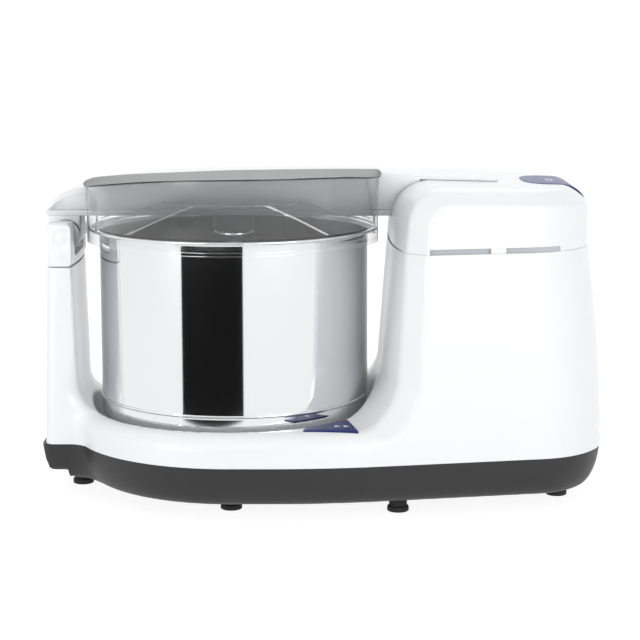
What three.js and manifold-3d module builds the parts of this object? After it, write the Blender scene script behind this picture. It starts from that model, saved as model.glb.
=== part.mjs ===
// Table-top wet grinder: a steel drum with conical stones stands in the well of a U-shaped housing, between a
// narrow pillar (left) and the motor tower (right). A tilting arm with a smoked lid spans the drum.
// Millimetres, +X to the tower, +Y to the back, +Z up. Sizes are taken about the drum's axis, and the whole
// is then shifted so that the origin lies under the middle of the object, on the plane of its feet.

import * as THREE from 'three';
import { mergeVertices } from 'three/addons/utils/BufferGeometryUtils.js';
import Module from 'manifold-3d';

const wasm = await Module();
wasm.setup();

const { PI, sin, cos, tan, atan2, sqrt, max, min, abs } = Math;
const degrees = (angle) => (angle * PI) / 180;

// Clearances
const gap = 0.3; // between pieces that touch
const overrun = 6; // how far a cutter passes the face that it cuts
const farOverrun = 24; // the same for a cutter that must clear a whole shell
const weld = 0.0001; // vertices closer than this are one

// Drum
const drumR = 147;
const drumHeight = 213.5;
const drumSheet = 1.5;
const drumCornerR = 25;
const drumBeadRise = 29.5; // drum floor to the pressed line round the wall
const drumBeadR = 1.2;
const rimOut = 10.4; // wall to the outer edge of the rolled rim
const rimFlare = 13; // height over which the wall opens into the rim
const rimTube = 3.4; // thickness of the rolled rim

// Lid
const lidGap = 1.3; // rim to the inside of the skirt
const lidWall = 2;
const lidBrim = 3.2; // how far the top plate overhangs the skirt
const lidPlate = 2.5;
const skirtDrop = 14.5; // rim top down to the lower edge of the skirt
const lidSideDrop = 8; // how much lower the plate's edge lies at the sides than in front
const lidSideRound = 22; // width of the plate's rounding at the sides
const lidRearFall = 14; // how far the rear half falls towards the back

// Splash guard: a cone inside the lid
const guardR = 82; // its ridge
const guardHoleR = 62;
const guardRise = 27; // rim to ridge
const guardFall = 3; // ridge to the edge of the hole
const guardWall = 1.5;
const guardRimGap = 1.6; // drum rim to the guard's outer edge
const guardArmGap = 2;

// Housing in plan
const wellGap = 10; // drum wall to well
const lipWidth = 19; // well to the outer face in front
const wall = 3;
const pillarGap = 7.6; // lid skirt to the pillar's inner wall, at the pillar's seam
const pillarThick = 34.7;
const pillarHalf = 68;
const pillarCornerR = 9;
const pillarFlare = 4; // how far the pillar's inner wall draws back at its front and back edges
const shoulderR = 12; // hollow where the bulge meets the pillar
const bulgeFlat = 40; // straight stretch in front of the drum
const towerGap = 8.3; // lid skirt to the tower's inner wall, at the tower's seam
const towerLength = 230; // inner wall to the outer face, at the base seam
const towerFrontStep = 15.5; // how much further out the tower's front lies than the bulge
const towerFrontAngle = degrees(10.6);
const towerCornerR = 70;
const towerFlare = 35; // how far the tower's inner wall draws back at towerFlareY
const towerFlarePower = 4;
const towerFlareY = 150;
const troughStationShares = [0, 0.3, 0.52, 0.68, 0.82, 0.91, 0.955, 1, 1.05]; // of the bulge's radius
const frontLeanShare = 0.0445;
const pillarLeanShare = 0.027;
const pillarInnerLeanShare = 0.028;
const towerInnerLeanShare = 0.074;
const towerDraw = 18; // how far the tower's outer face draws in from the base seam to its own
const towerDrawPower = 1.8;
const levelShares = [0.25, 0.45, 0.62, 0.76, 0.89]; // levels between the two seams, of the height between them

// Heights
const footHeight = 17;
const baseHeight = 43; // base pan, floor to seam
const wellFloorRise = 3; // seam to the underside of the well's floor
const drumLift = 12; // well floor to the underside of the drum
const deckRise = 29; // well floor to the deck
const pillarFilletR = 28;
const towerFilletR = 48;
const lipBand = 10; // rounded front edge of the deck
const lipDrop = 5;
const armRise = 12; // rim top to the underside of the arm
const pivotDrop = 20; // underside of the arm to the hinge pin
const cheekGap = 4.3; // underside of the arm to the top of the pillar head
const headBelow = 31.5; // hinge pin to the pillar's seam
const coverBelow = 27; // underside of the arm to the tower's seam
const coverRise = 40.8; // underside of the arm to the top of the tower cover

// Base pan
const panTopInset = 0.5; // how far the pan lies inside the seam outline at its top
const panInsets = [21, 14, 7.5, 3]; // the same at each of its levels, from the floor up
const panLevelShares = [0, 0.12, 0.35, 0.65]; // height of each level, of the pan's height
const panLedge = 4.2; // how far the pan passes the pillar's outer face
const heelRise = 12.5; // how much higher the pan's underside lies at its left end
const heelStepRise = 3.5;
const heelLength = 23.7; // pillar face to the first step
const heelStepLength = 23.3;
const heelSlope = 15;
const bossR = 8; // posts under the motor plate
const bossInset = 18;
const ventCount = 6;
const ventPitch = 14;
const ventWidth = 5;
const ventLength = 70;

// Feet
const footR = 11.5;
const footFlange = 5;
const footNeck = 2;
const footRound = 1;
const footInset = 68.1; // front face of the bulge to the centre of a foot
const footTowerInset = 46;
const footMidInset = 8; // tower's inner wall to the middle feet
const footFarInset = 46; // tower's outer face to the right feet
const footFarY = 49.5;
const footHeelInset = 32;

// Tower cover
const coverFall = 6; // how much lower the cover's top lies at its right end
const coverLeftR = 38;
const coverRightR = 28;
const coverLeftInset = 4; // seam's inner wall to the cover's upper left curve
const coverBevelHeight = 13;
const coverBevelWidth = 22;
const channelEndGap = 3.5; // end of the arm to the end of its channel
const channelSide = 1.5;
const channelFloorGap = 1.5;
const slotHeight = 5.8;
const slotReach = 100; // how far back the slots are cut from the bulge's front
const slotShares = [[0.162, 0.276], [0.507, 0.2522]]; // start and length of each, of the tower's length
const linerThick = 2;
const linerGap = 0.6;
const linerHeight = 24;

// Arm
const armHalf = 35;
const armBottomHalf = 26;
const armHeight = 48.5;
const armRim = 10; // straight upper part of the arm's side
const armEdge = 2;
const armWall = 2.5;
const armEndInset = 31; // tower's inner wall to the end of the arm proper
const tonguePadGap = 29; // tip of the tongue to the push pad
const trayThick = 4.6;
const trayEndInset = 2;
const frameEndInset = 6.5; // arm's end to the end of its frame
const lugNeck = 4; // how far the frame's neck starts before the pin
const lugR = 16;
const lugSide = 2.25; // arm's side to the cheek
const neckHalf = 18;
const barHeight = 9;
const pinInset = 22; // pillar face to the hinge pin
const pinR = 4;
const pinEnd = 2.5; // how far the pin stops short of the panel
// Outline of the arm's top from left to right: x of the pillar's or the arm's reach, z of armHeight
const armLeftShares = [
  [0.9975, 0.08],
  [0.99, 0.135],
  [0.969, 0.22],
  [0.943, 0.385],
  [0.915, 0.475],
  [0.882, 0.54],
  [0.841, 0.598],
  [0.788, 0.67],
  [0.69, 0.773],
  [0.542, 0.887],
  [0.296, 0.958],
];
const armRightShares = [
  [0, 0.995],
  [0.4935, 1.015],
  [1, 1],
];
// The tongue: x as a share of its length past the arm's end, z of armHeight, half width of the arm's
const tongueShares = [
  [-0.146, 1.03, 1],
  [0.535, 1.005, 1],
  [0.86, 0.97, 0.86],
  [0.966, 0.92, 0.6],
  [1, 0.87, 0.35],
];

// Lid top, along the arm: x as a share of the brim's radius, drop below the lid's highest line of armHeight
const lidTopShares = [
  [-0.972, 0.43],
  [-0.945, 0.33],
  [-0.9, 0.262],
  [-0.8, 0.172],
  [-0.675, 0.136],
  [-0.54, 0.102],
  [-0.345, 0.068],
  [-0.15, 0.034],
  [0.05, 0.01],
  [0.38, 0],
  [0.6, 0],
  [0.775, 0],
  [0.87, 0.003],
  [0.92, 0.01],
  [0.95, 0.04],
  [0.972, 0.085],
];
const lidTopRise = 52.1; // underside of the arm to the lid's highest line
const lidRoundShare = 0.6; // most of the plate's depth that its side rounding takes
const lidSidePower = 4; // how late the plate drops towards its sides

// Pillar head
const headWeb = 10;
const cheekRecess = 2.5; // how far the cheeks lie behind the pillar's front
const panelThick = 2.2;
const panelSide = 8;
const panelWidth = 24;
const panelLow = 1.5;
const panelHigh = 1.5;
const panelCornerR = 5;
const panelCapR = 7;
const panelCapDepth = 0.6;

// Pressure boss under the arm
const bossRodR = 8;
const pressR = 23;
const pressHeight = 18.7;
const pressRound = 2;
const pressRingR = 21.5;
const pressRingHeight = 8;
const pressRingGap = 0.6;
const plungerInside = 14; // how far the plunger reaches into the boss
const plungerHeadR = 12;
const plungerHead = 6;
const pressTravelRoom = 9; // free length over the plunger's shaft, and under its head

// Stones
const stoneGap = 28; // base stone to the drum's wall
const stoneHeight = 28;
const stoneEdge = 2;
const stoneHoleR = 21;
const rollerHalfAngle = degrees(27);
const rollerInset = 2; // edge of the base stone to the outer end of the line on which a roller bears
const rollerInner = 42; // apex to the roller's inner face, along its axis
const rollerLift = 0.5; // running gap over the base stone
const rollerEdge = 3;
const rollerCount = 3;
const rollerTurn = degrees(-90); // direction of the first roller
const axleR = 5;
const axleHeadR = 11;
const axleHead = 5;
const axleRound = 1.5;
const axleInner = 20;

// Centre post and roller holder
const postFlangeR = 20.5;
const postFlangeRise = 4;
const postR = 13;
const postHeight = 126;
const holderWall = 11;
const holderStart = 12; // base stone to the holder
const holderTopWall = 4;
const holderBossR = 10;
const holderBossGap = 0.9; // holder to the roller

// Drive
const spindleR = 7;
const spindleTip = 2.4; // how far the spindle passes the coupling
const couplingR = 24;
const couplingHeight = 6;
const couplingGap = 1.2; // over the well floor
const cupR = 58;
const cupDrop = 7.7;
const cupGap = 0.3;
const pulleyR = 81;
const pulleyRim = 7;
const pulleyWidth = 14;
const pulleyWeb = 4;
const pulleyHubR = 18;
const pulleyLift = 10; // pan floor to the pulleys
const panFloor = 3;
const bearingR = 16;
const bearingHeight = 9;
const bearingGap = 1.5;
const bearingWall = 5;
const flangeR = 46;
const flangeHeight = 5;
const spindleHoleR = 24.5;
const motorPulleyR = 9;
const spindleFoot = 6; // how far the spindle passes its pulley
const shaftR = 5;
const beltThick = 3;
const beltGap = 0.5; // pulleys to belt
const beltWidth = 12;

// Motor and electrics
const plateThick = 4;
const plateInset = 33; // tower's inner and outer walls to the motor plate
const plateHalf = 72;
const plateCorner = 10;
const plateLift = 8; // seam to the underside of the motor plate
const motorShare = 0.2588; // radius of the motor, of the tower's length
const motorFlatShare = 0.871; // the rest in shares of the motor's radius
const motorCapShare = 0.9516;
const windingShare = 0.8065;
const rotorShare = 0.516;
const fanShare = 0.742;
const motorHeight = 78;
const windingHeight = 16;
const rotorGap = 0.8;
const windingGap = 3.2; // rotor to the windings
const motorCapHeight = 9;
const motorHubR = 15;
const motorBearingR = 13;
const motorBearingHeight = 8;
const shaftTop = 14;
const fanHeight = 12;
const fanPlate = 3;
const fanHubR = 10;
const bladeCount = 7;
const bladeThick = 2.5;
const capacitorR = 17;
const capacitorHeight = 68;
const capacitorInset = 53; // tower's outer face to the capacitor
const capacitorGap = 2.2; // motor to the capacitor
const boardInset = 49.6; // tower's inner wall to the board
const boardThick = 1.6;
const boardLength = 76;
const boardHeight = 60;
const glandInset = 75; // tower's outer face to the cable inlet
const glandZ = 88;
const glandR = 9;
const glandFlangeR = 13;
const glandFlange = 4;
const glandOut = 10;
const glandIn = 8;
const glandBore = 4;

// Push pad on the tower cover
const padInset = 86.2; // tower's outer face to the pad's left edge
const padHalf = 47;
const padStraight = 60; // pad's left edge to the middle of its taper
const padCornerR = 26;
const padTaper = 22;
const padEndHalf = 16;
const padProud = 0.8;
const padThick = 4;
const padTravel = 2; // free depth under the pad
const padLow = 37; // top of the cover to the pad's lower end on the right side
const padMargin = 0.5;
const padStemR = 4;
const padStemHole = 4.6;
const padStemInset = 22; // pad's left edge to its stem
const padStem = 12;
const switchGap = 1.5;
const switchWidth = 30;
const switchDepth = 24;
const switchHeight = 26;

// Drum release key on the deck
const keyWellGap = 3.5;
const keyShares = [0.4904, 0.8535]; // left and right ends, of the well's radius
const keyProud = 1.2;
const keyDepth = 11;
const keyMargin = 0.5;
const keyTravel = 4; // free depth under the key
const keyPocketWall = 2;
const keyStartAngle = degrees(-60.5);
const keyEndAngle = degrees(-43.5);

// Counts of facets
const fine = 48;
const medium = 32;
const coarse = 20;
const bend = 9; // on a wide bend
const turnSteps = 5; // on a quarter turn
const small = 3; // on a small rounding

// Derived plan
const rimR = drumR + rimOut;
const wellR = drumR + wellGap;
const bulgeR = wellR + lipWidth;
const skirtInnerR = rimR + lidGap;
const skirtR = skirtInnerR + lidWall;
const brimR = skirtR + lidBrim;
const pillarInner = skirtR + pillarGap;
const pillarReach = pillarInner + pillarThick;
const towerInner = skirtR + towerGap;
const towerReach = towerInner + towerLength;
const towerFront = bulgeR + towerFrontStep;
const padStart = towerReach - padInset;
const padStemX = padStart + padStemInset;
const armEndX = towerInner + armEndInset;
const tongueEndX = padStart - tonguePadGap;
const shaftX = (towerInner + towerReach) / 2;
const motorR = motorShare * towerLength;
const motorFlat = motorFlatShare * motorR;
const motorCapR = motorCapShare * motorR;
const windingR = windingShare * motorR;
const rotorR = rotorShare * motorR;
const fanR = fanShare * motorR;
const plateStart = towerInner + plateInset;
const plateEnd = towerReach - plateInset;
const stoneR = drumR - stoneGap;
const rollerReach = stoneR - rollerInset;
const glandX = towerReach - glandInset;
const slots = slotShares.map(([start, length]) => [towerInner + start * towerLength, length * towerLength]);

// Derived heights
const seamZ = footHeight + baseHeight;
const wellFloorZ = seamZ + wellFloorRise + wall;
const drumZ = wellFloorZ + drumLift;
const deckZ = wellFloorZ + deckRise;
const rimZ = drumZ + drumHeight;
const skirtZ = rimZ - skirtDrop;
const armZ = rimZ + armRise;
const pivotZ = armZ - pivotDrop;
const cheekZ = armZ - cheekGap;
const headZ = pivotZ - headBelow;
const towerZ = armZ - coverBelow;
const coverZ = armZ + coverRise;
const stoneZ = drumZ + drumSheet + gap + stoneHeight;
const pivotX = -(pillarReach - pinInset);

const colours = {
  white: ['#f4f5f6', 0.35, 0],
  shade: ['#d9dbdd', 0.45, 0],
  dark: ['#3a3b3c', 0.6, 0],
  rubber: ['#2b2b2c', 0.85, 0],
  steel: ['#c9ccce', 0.15, 1],
  iron: ['#7e8184', 0.45, 1],
  smoke: ['#9a9da0', 0.1, 0],
  blue: ['#27346f', 0.4, 0],
  granite: ['#55565a', 0.8, 0],
  grey: ['#8b8e91', 0.5, 0],
  copper: ['#b0693a', 0.4, 1],
  board: ['#2f6b45', 0.6, 0],
};

const root = new THREE.Group();
const machine = new THREE.Group();
machine.position.x = (pillarReach + panLedge - panTopInset - towerReach) / 2;
root.add(machine);

// Turns a closed three.js geometry into a solid, with its faces pointing out
function solid(geometry) {
  const bare = geometry.clone();
  bare.deleteAttribute('normal');
  bare.deleteAttribute('uv');
  const merged = mergeVertices(bare, weld);
  const points = merged.attributes.position.array;
  const raw = merged.index.array;
  const faces = [];
  let volume = 0;
  for (let i = 0; i < raw.length; i += 3) {
    const [a, b, c] = [raw[i], raw[i + 1], raw[i + 2]];
    if (a === b || b === c || c === a) continue;
    faces.push([a, b, c]);
    const corner = [a, b, c].map((v) => new THREE.Vector3().fromArray(points, 3 * v));
    volume += corner[0].dot(corner[1].clone().cross(corner[2]));
  }
  const ordered = volume < 0 ? faces.map(([a, b, c]) => [a, c, b]) : faces;
  return new wasm.Manifold(
    new wasm.Mesh({
      numProp: 3,
      vertProperties: new Float32Array(points),
      triVerts: new Uint32Array(ordered.flat()),
    }),
  );
}

function material(name) {
  const [color, roughness, metalness] = colours[name];
  return new THREE.MeshStandardMaterial({ color, roughness, metalness });
}

// Adds a solid to the scene graph as a named mesh
function place(name, body, finish, parent = machine) {
  const data = body.getMesh();
  const geometry = new THREE.BufferGeometry();
  geometry.setAttribute('position', new THREE.BufferAttribute(new Float32Array(data.vertProperties), 3));
  geometry.setIndex(new THREE.BufferAttribute(new Uint32Array(data.triVerts), 1));
  geometry.computeVertexNormals();
  const mesh = new THREE.Mesh(geometry, material(finish));
  mesh.name = name;
  parent.add(mesh);
  return mesh;
}

// Points on an arc, both ends included
function arc(x, y, radius, from, to, steps) {
  return Array.from({ length: steps + 1 }, (_, i) => {
    const angle = from + ((to - from) * i) / steps;
    return [x + radius * cos(angle), y + radius * sin(angle)];
  });
}

// Skins a row of rings that have equal numbers of points; flat(p) gives the plane that its ends lie in
function loft(rings, flat) {
  const count = rings[0].length;
  const index = [];
  for (let k = 0; k + 1 < rings.length; k++) {
    for (let i = 0; i < count; i++) {
      const a = k * count + i;
      const b = k * count + ((i + 1) % count);
      index.push(a, b, b + count, a, b + count, a + count);
    }
  }
  for (const [k, turn] of [
    [0, -1],
    [rings.length - 1, 1],
  ]) {
    const contour = rings[k].map((p) => new THREE.Vector2(...flat(p)));
    const way = Math.sign(THREE.ShapeUtils.area(contour)) * turn;
    for (const face of THREE.ShapeUtils.triangulateShape(contour, [])) {
      const area = THREE.ShapeUtils.area(face.map((v) => contour[v]));
      const ordered = Math.sign(area) === way ? face : [face[0], face[2], face[1]];
      index.push(...ordered.map((v) => k * count + v));
    }
  }
  const geometry = new THREE.BufferGeometry();
  geometry.setAttribute('position', new THREE.Float32BufferAttribute(rings.flat(2), 3));
  geometry.setIndex(index);
  return solid(geometry);
}

const fromAbove = ([x, y]) => [x, y];
const fromFront = ([x, , z]) => [x, z];
const fromSide = ([, y, z]) => [y, z];

// A flat outline in plan, raised from low to high
function prism(outline, low, high) {
  const shape = new THREE.Shape(outline.map((p) => new THREE.Vector2(...p)));
  const geometry = new THREE.ExtrudeGeometry(shape, { depth: high - low, bevelEnabled: false });
  geometry.translate(0, 0, low);
  return solid(geometry);
}

// An outline seen from the front, carried along Y
function frontPrism(outline, front, back) {
  const shape = new THREE.Shape(outline.map((p) => new THREE.Vector2(...p)));
  const geometry = new THREE.ExtrudeGeometry(shape, { depth: back - front, bevelEnabled: false });
  geometry.rotateX(PI / 2);
  geometry.translate(0, back, 0);
  return solid(geometry);
}

function block(x0, x1, y0, y1, z0, z1) {
  const geometry = new THREE.BoxGeometry(x1 - x0, y1 - y0, z1 - z0);
  geometry.translate((x0 + x1) / 2, (y0 + y1) / 2, (z0 + z1) / 2);
  return solid(geometry);
}

// A profile of [radius, height] turned about the vertical axis
function turned(profile, steps) {
  const geometry = new THREE.LatheGeometry(profile.map((p) => new THREE.Vector2(...p)), steps);
  geometry.rotateX(PI / 2);
  return geometry;
}

function disc(radius, low, high, steps, x = 0, y = 0) {
  const geometry = turned([[0, low], [radius, low], [radius, high], [0, high]], steps);
  geometry.translate(x, y, 0);
  return solid(geometry);
}

function sleeve(inner, outer, low, high, steps, x = 0, y = 0) {
  const geometry = turned([[inner, low], [outer, low], [outer, high], [inner, high], [inner, low]], steps);
  geometry.translate(x, y, 0);
  return solid(geometry);
}

// A round bar along Y
function crossBar(radius, front, back, x, z, steps) {
  const geometry = turned([[0, front], [radius, front], [radius, back], [0, back]], steps);
  geometry.rotateX(-PI / 2);
  geometry.translate(x, 0, z);
  return solid(geometry);
}

// Outline of the housing in plan at a height, drawn in by inset and longer at its left end by ledge;
// it is the same in front and behind
function outline(inset, z, ledge = 0) {
  const rise = min(z, towerZ) - seamZ;
  const half = pillarHalf - pillarLeanShare * rise - inset;
  const bulge = bulgeR - frontLeanShare * rise - inset;
  const front = towerFront - frontLeanShare * rise - inset;
  const above = max(0, rise);
  const right = towerReach - towerDraw * (above / (towerZ - seamZ)) ** towerDrawPower - inset;
  const left = pillarReach + ledge - pillarLeanShare * above - inset;
  const hollow = shoulderR + inset;
  const hollowX = sqrt((bulge + hollow) ** 2 - (half + hollow) ** 2);
  const hollowEnd = atan2(half + hollow, hollowX);
  const corner = pillarCornerR;
  const turn = towerFrontAngle;
  const meet = (front - bulge * cos(turn)) / sin(turn);
  const blend = (meet - bulgeFlat) / tan(turn / 2);
  const side = towerCornerR;
  const sideX = right - side;
  const sideY = (sideX * sin(turn) - (front - side)) / cos(turn);
  const half1 = [
    ...arc(corner - left, corner - half, corner, -PI, -PI / 2, small),
    ...arc(-hollowX, -(half + hollow), hollow, PI / 2, hollowEnd, small),
    ...arc(0, 0, bulge, hollowEnd - PI, -PI / 2, bend).slice(1),
    ...arc(bulgeFlat, blend - bulge, blend, -PI / 2, turn - PI / 2, turnSteps),
    ...arc(sideX, sideY, side, turn - PI / 2, 0, turnSteps),
  ];
  const half2 = half1.map(([x, y]) => [x, -y]).reverse();
  return [...half1, ...half2].map(([x, y]) => [x, y, z]);
}

// The trough between pillar and tower, in which the drum stands, made larger on all sides by grow
function trough(grow) {
  const before = troughStationShares.slice(1).reverse().map((share) => -share);
  const stations = [...before, ...troughStationShares];
  const top = coverZ + drumR;
  const rings = stations.map((share) => {
    const y = share * bulgeR;
    const leftFlare = pillarFlare * (y / pillarHalf) ** 2;
    const rightFlare = towerFlare * (y / towerFlareY) ** towerFlarePower;
    const floor = deckZ - lipDrop * (max(0, abs(y) - (bulgeR - lipBand)) / lipBand) ** 2 - grow;
    const leftR = pillarFilletR + grow;
    const rightR = towerFilletR + grow;
    const left = pillarInnerLeanShare * (headZ - floor - leftR) - pillarInner - leftFlare - grow;
    const right = towerInner + rightFlare + grow - towerInnerLeanShare * (towerZ - floor - rightR);
    const shape = [
      [left - pillarInnerLeanShare * (top - floor - leftR), top],
      ...arc(left + leftR, floor + leftR, leftR, -PI, -PI / 2, turnSteps),
      ...arc(right - rightR, floor + rightR, rightR, -PI / 2, 0, turnSteps),
      [right + towerInnerLeanShare * (top - floor - rightR), top],
    ];
    return shape.map(([x, z]) => [x, y, z]);
  });
  return loft(rings, fromFront);
}

const troughCut = trough(0);
const troughSkin = trough(wall);

// The housing's outline at all its levels from low to high, drawn in by inset
function walls(inset, low, high) {
  const between = levelShares.map((share) => seamZ + share * (towerZ - seamZ));
  return loft([low, ...between, high].map((z) => outline(inset, z)), fromAbove);
}

function housing() {
  const shell = walls(0, seamZ + gap / 2, towerZ - gap / 2);
  const inside = walls(wall, seamZ - overrun, towerZ + overrun);
  const pillar = [-pillarReach - overrun, -pillarInner + pillarThick, -bulgeR, bulgeR];
  const pillarCap = block(...pillar, headZ - wall, towerZ + farOverrun);
  const wellSkin = disc(wellR + wall, wellFloorZ - wall, towerZ, fine);
  const keyFloor = deckZ - keyDepth - keyTravel;
  const keyPocket = keyOutline(keyMargin + keyPocketWall, keyFloor - keyPocketWall, armZ);
  const hollow = inside.subtract(troughSkin).subtract(wellSkin).subtract(pillarCap).subtract(keyPocket);
  const well = disc(wellR, wellFloorZ, towerZ, fine);
  const spindleHole = disc(spindleHoleR, seamZ, wellFloorZ + overrun, coarse);
  const aboveHead = block(...pillar, headZ - gap / 2, towerZ + overrun);
  return shell
    .subtract(troughCut)
    .subtract(well)
    .subtract(hollow)
    .subtract(spindleHole)
    .subtract(aboveHead)
    .subtract(glandHole())
    .subtract(keyOutline(keyMargin, keyFloor, armZ));
}

// Rear wall of the tower at the cable inlet
const glandReach = towerFront - frontLeanShare * (glandZ - seamZ);
const glandY = (glandReach - glandX * sin(towerFrontAngle)) / cos(towerFrontAngle);

// A group at the cable inlet whose +Z points squarely out of the rear wall
function glandFrame() {
  const frame = new THREE.Group();
  frame.position.set(glandX, glandY, glandZ);
  frame.rotation.set(Math.atan(frontLeanShare) - PI / 2, 0, -towerFrontAngle, 'ZYX');
  frame.updateMatrixWorld();
  return frame;
}

function glandHole() {
  const radius = glandR + gap;
  const profile = [[0, -glandIn - overrun], [radius, -glandIn - overrun], [radius, overrun], [0, overrun]];
  return solid(turned(profile, coarse).applyMatrix4(glandFrame().matrixWorld));
}

function gland() {
  const frame = glandFrame();
  machine.add(frame);
  const profile = [
    [glandBore, -glandIn],
    [glandR - gap, -glandIn],
    [glandR - gap, gap],
    [glandFlangeR, gap],
    [glandFlangeR, glandFlange],
    [glandR, glandOut],
    [glandBore, glandOut],
    [glandBore, -glandIn],
  ];
  place('mains_gland', solid(turned(profile, coarse)), 'rubber', frame);
}

// Moves each side of an anticlockwise outline outwards by distance
function offset(points, distance) {
  const count = points.length;
  return points.map((p, i) => {
    const before = points[(i + count - 1) % count];
    const after = points[(i + 1) % count];
    const one = new THREE.Vector2(p[1] - before[1], before[0] - p[0]).normalize();
    const two = new THREE.Vector2(after[1] - p[1], p[0] - after[0]).normalize();
    const scale = distance / (1 + one.dot(two));
    return [p[0] + (one.x + two.x) * scale, p[1] + (one.y + two.y) * scale];
  });
}

// Triangular key beside the well: its long edge follows the well, its front edge is straight
function keyOutline(grow, low, high) {
  const points = [
    ...keyShares.map((share) => [share * wellR, -wellR]),
    ...arc(0, 0, wellR + keyWellGap, keyEndAngle, keyStartAngle, turnSteps),
  ];
  return prism(offset(points, grow), low, high);
}

function releaseKey() {
  const surface = troughCut.translate([0, 0, keyProud]);
  return keyOutline(0, deckZ - keyDepth, armZ).subtract(surface);
}

// Level of the pan's underside: it steps up towards the left end
function heel(lift, shift) {
  const far = -pillarReach - farOverrun;
  const low = -overrun;
  const first = -pillarReach + heelLength + shift;
  const second = first + heelStepLength;
  const points = [
    [far, low],
    [second + heelSlope, low],
    [second + heelSlope, footHeight - gap + lift],
    [second, footHeight + heelStepRise + lift],
    [first, footHeight + heelStepRise + lift],
    [first, footHeight + heelRise + lift],
    [far, footHeight + heelRise + lift],
  ];
  return frontPrism(points, -bulgeR - overrun, bulgeR + overrun);
}

function panShell(inset, lift, top) {
  const level = (i) => footHeight + panLevelShares[i] * baseHeight + lift;
  const rings = panInsets.map((draw, i) => outline(draw + inset, level(i), panLedge));
  return loft([...rings, outline(panTopInset + inset, top, panLedge)], fromAbove);
}

const bossPlaces = [
  [plateStart + bossInset, plateHalf - bossInset],
  [plateEnd - bossInset, plateHalf - bossInset],
  [plateStart + bossInset, bossInset - plateHalf],
  [plateEnd - bossInset, bossInset - plateHalf],
];

function basePan() {
  const outer = panShell(0, 0, seamZ - gap / 2).subtract(heel(0, 0));
  const inner = panShell(wall, panFloor, seamZ + overrun).subtract(heel(panFloor, panFloor));
  let pan = outer.subtract(inner);
  for (const [x, y] of bossPlaces) {
    pan = pan.add(disc(bossR, footHeight + panFloor - gap, seamZ + plateLift - gap, coarse, x, y));
  }
  const [half, reach] = [ventWidth / 2, ventLength / 2];
  for (let i = 0; i < ventCount; i++) {
    const x = shaftX + (i - (ventCount - 1) / 2) * ventPitch;
    pan = pan.subtract(block(x - half, x + half, -reach, reach, 0, footHeight + panFloor + gap));
  }
  return pan;
}

function foot(name, x, y, top) {
  const high = top - gap;
  const profile = [
    [0, 0],
    [footR - footRound, 0],
    [footR, footRound],
    [footR, footFlange],
    [footR - footNeck, footFlange + footRound],
    [footR - footNeck, high],
    [0, high],
  ];
  const mesh = place(name, solid(turned(profile, coarse)), 'rubber');
  mesh.position.set(x, y, 0);
}

// The tower cover's outline from the front, moved inwards by inset
function coverProfile(inset) {
  const right = towerReach - towerDraw + gap - inset;
  const left = towerInner + coverLeftInset + inset;
  const leftR = coverLeftR - inset;
  const rightR = coverRightR - inset;
  const top = coverZ - inset;
  const low = towerZ - farOverrun;
  return [
    [left, low],
    [right, low],
    ...arc(right - rightR, top - coverFall - rightR, rightR, 0, PI / 2 - coverFall / towerLength, turnSteps),
    ...arc(left + leftR, top - leftR, leftR, PI / 2, PI, turnSteps),
  ];
}

function coverShell(inset, low) {
  const bevelZ = coverZ - coverBevelHeight;
  const rings = [
    outline(inset, low),
    outline(inset, bevelZ - inset / 2),
    outline(inset + coverBevelWidth, coverZ - inset / 2),
    outline(inset + coverBevelWidth + overrun, coverZ + overrun),
  ];
  return loft(rings, fromAbove).intersect(frontPrism(coverProfile(inset), -bulgeR, bulgeR));
}

function channel(grow) {
  const half = armHalf + channelSide + grow;
  const floor = armZ - channelFloorGap - grow;
  return block(0, armEndX + channelEndGap + grow, -half, half, floor, coverZ + overrun);
}

// Push pad: a strip of the cover's surface that wraps over its right shoulder
function padPlan(grow, low) {
  const right = towerReach;
  const half = padHalf + grow;
  const start = padStart - grow;
  const corner = padCornerR;
  const taper = padStart + padStraight;
  const end = padEndHalf + grow;
  const lower = [
    ...arc(start + corner, corner - half, corner, -PI, -PI / 2, turnSteps),
    [taper - padTaper / 2, -half],
    [taper, -(half + end) / 2],
    [right, -end],
  ];
  const upper = lower.map(([x, y]) => [x, -y]).reverse();
  return prism([...lower, ...upper], low, coverZ + overrun);
}

function padBand(outer, innerInset) {
  const skin = frontPrism(coverProfile(-outer), -bulgeR, bulgeR);
  return skin.subtract(frontPrism(coverProfile(innerInset), -bulgeR - overrun, bulgeR + overrun));
}

const padFloor = padThick - padProud + padTravel;

function towerCover() {
  const outer = coverShell(0, towerZ + gap / 2);
  const under = padPlan(wall, towerZ).subtract(frontPrism(coverProfile(padFloor + wall), -bulgeR, bulgeR));
  const hollow = coverShell(wall, towerZ - overrun)
    .subtract(troughSkin)
    .subtract(channel(wall))
    .subtract(under);
  let cover = outer.subtract(troughCut).subtract(channel(0)).subtract(hollow);
  const recess = padBand(overrun, padFloor).intersect(padPlan(padMargin, coverZ - padLow - padTravel - gap));
  cover = cover.subtract(recess);
  cover = cover.subtract(disc(padStemHole, armZ, coverZ + overrun, coarse, padStemX, 0));
  for (const [x, length] of slots) {
    const slot = block(x, x + length, -bulgeR, slotReach - bulgeR, towerZ - overrun, towerZ + slotHeight);
    cover = cover.subtract(slot);
  }
  return cover;
}

// Strip behind the slots that follows the inside of the front wall
function slotLiner() {
  const low = towerZ - linerHeight / 2;
  const high = towerZ + linerHeight / 2;
  const inside = (inset) => loft([low, towerZ, high].map((z) => outline(wall + inset, z)), fromAbove);
  const [[start], [last, length]] = slots;
  const end = last + length;
  const keep = block(start - wall, end + wall, -bulgeR, slotReach - bulgeR, low - overrun, high + overrun);
  return inside(linerGap).subtract(inside(linerGap + linerThick)).intersect(keep);
}

function powerPad() {
  const band = padBand(padProud, padThick - padProud).intersect(padPlan(0, coverZ - padLow));
  return band.add(disc(padStemR, switchTop - padStem / 2, padStemZ - gap, coarse, padStemX, 0));
}

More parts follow.
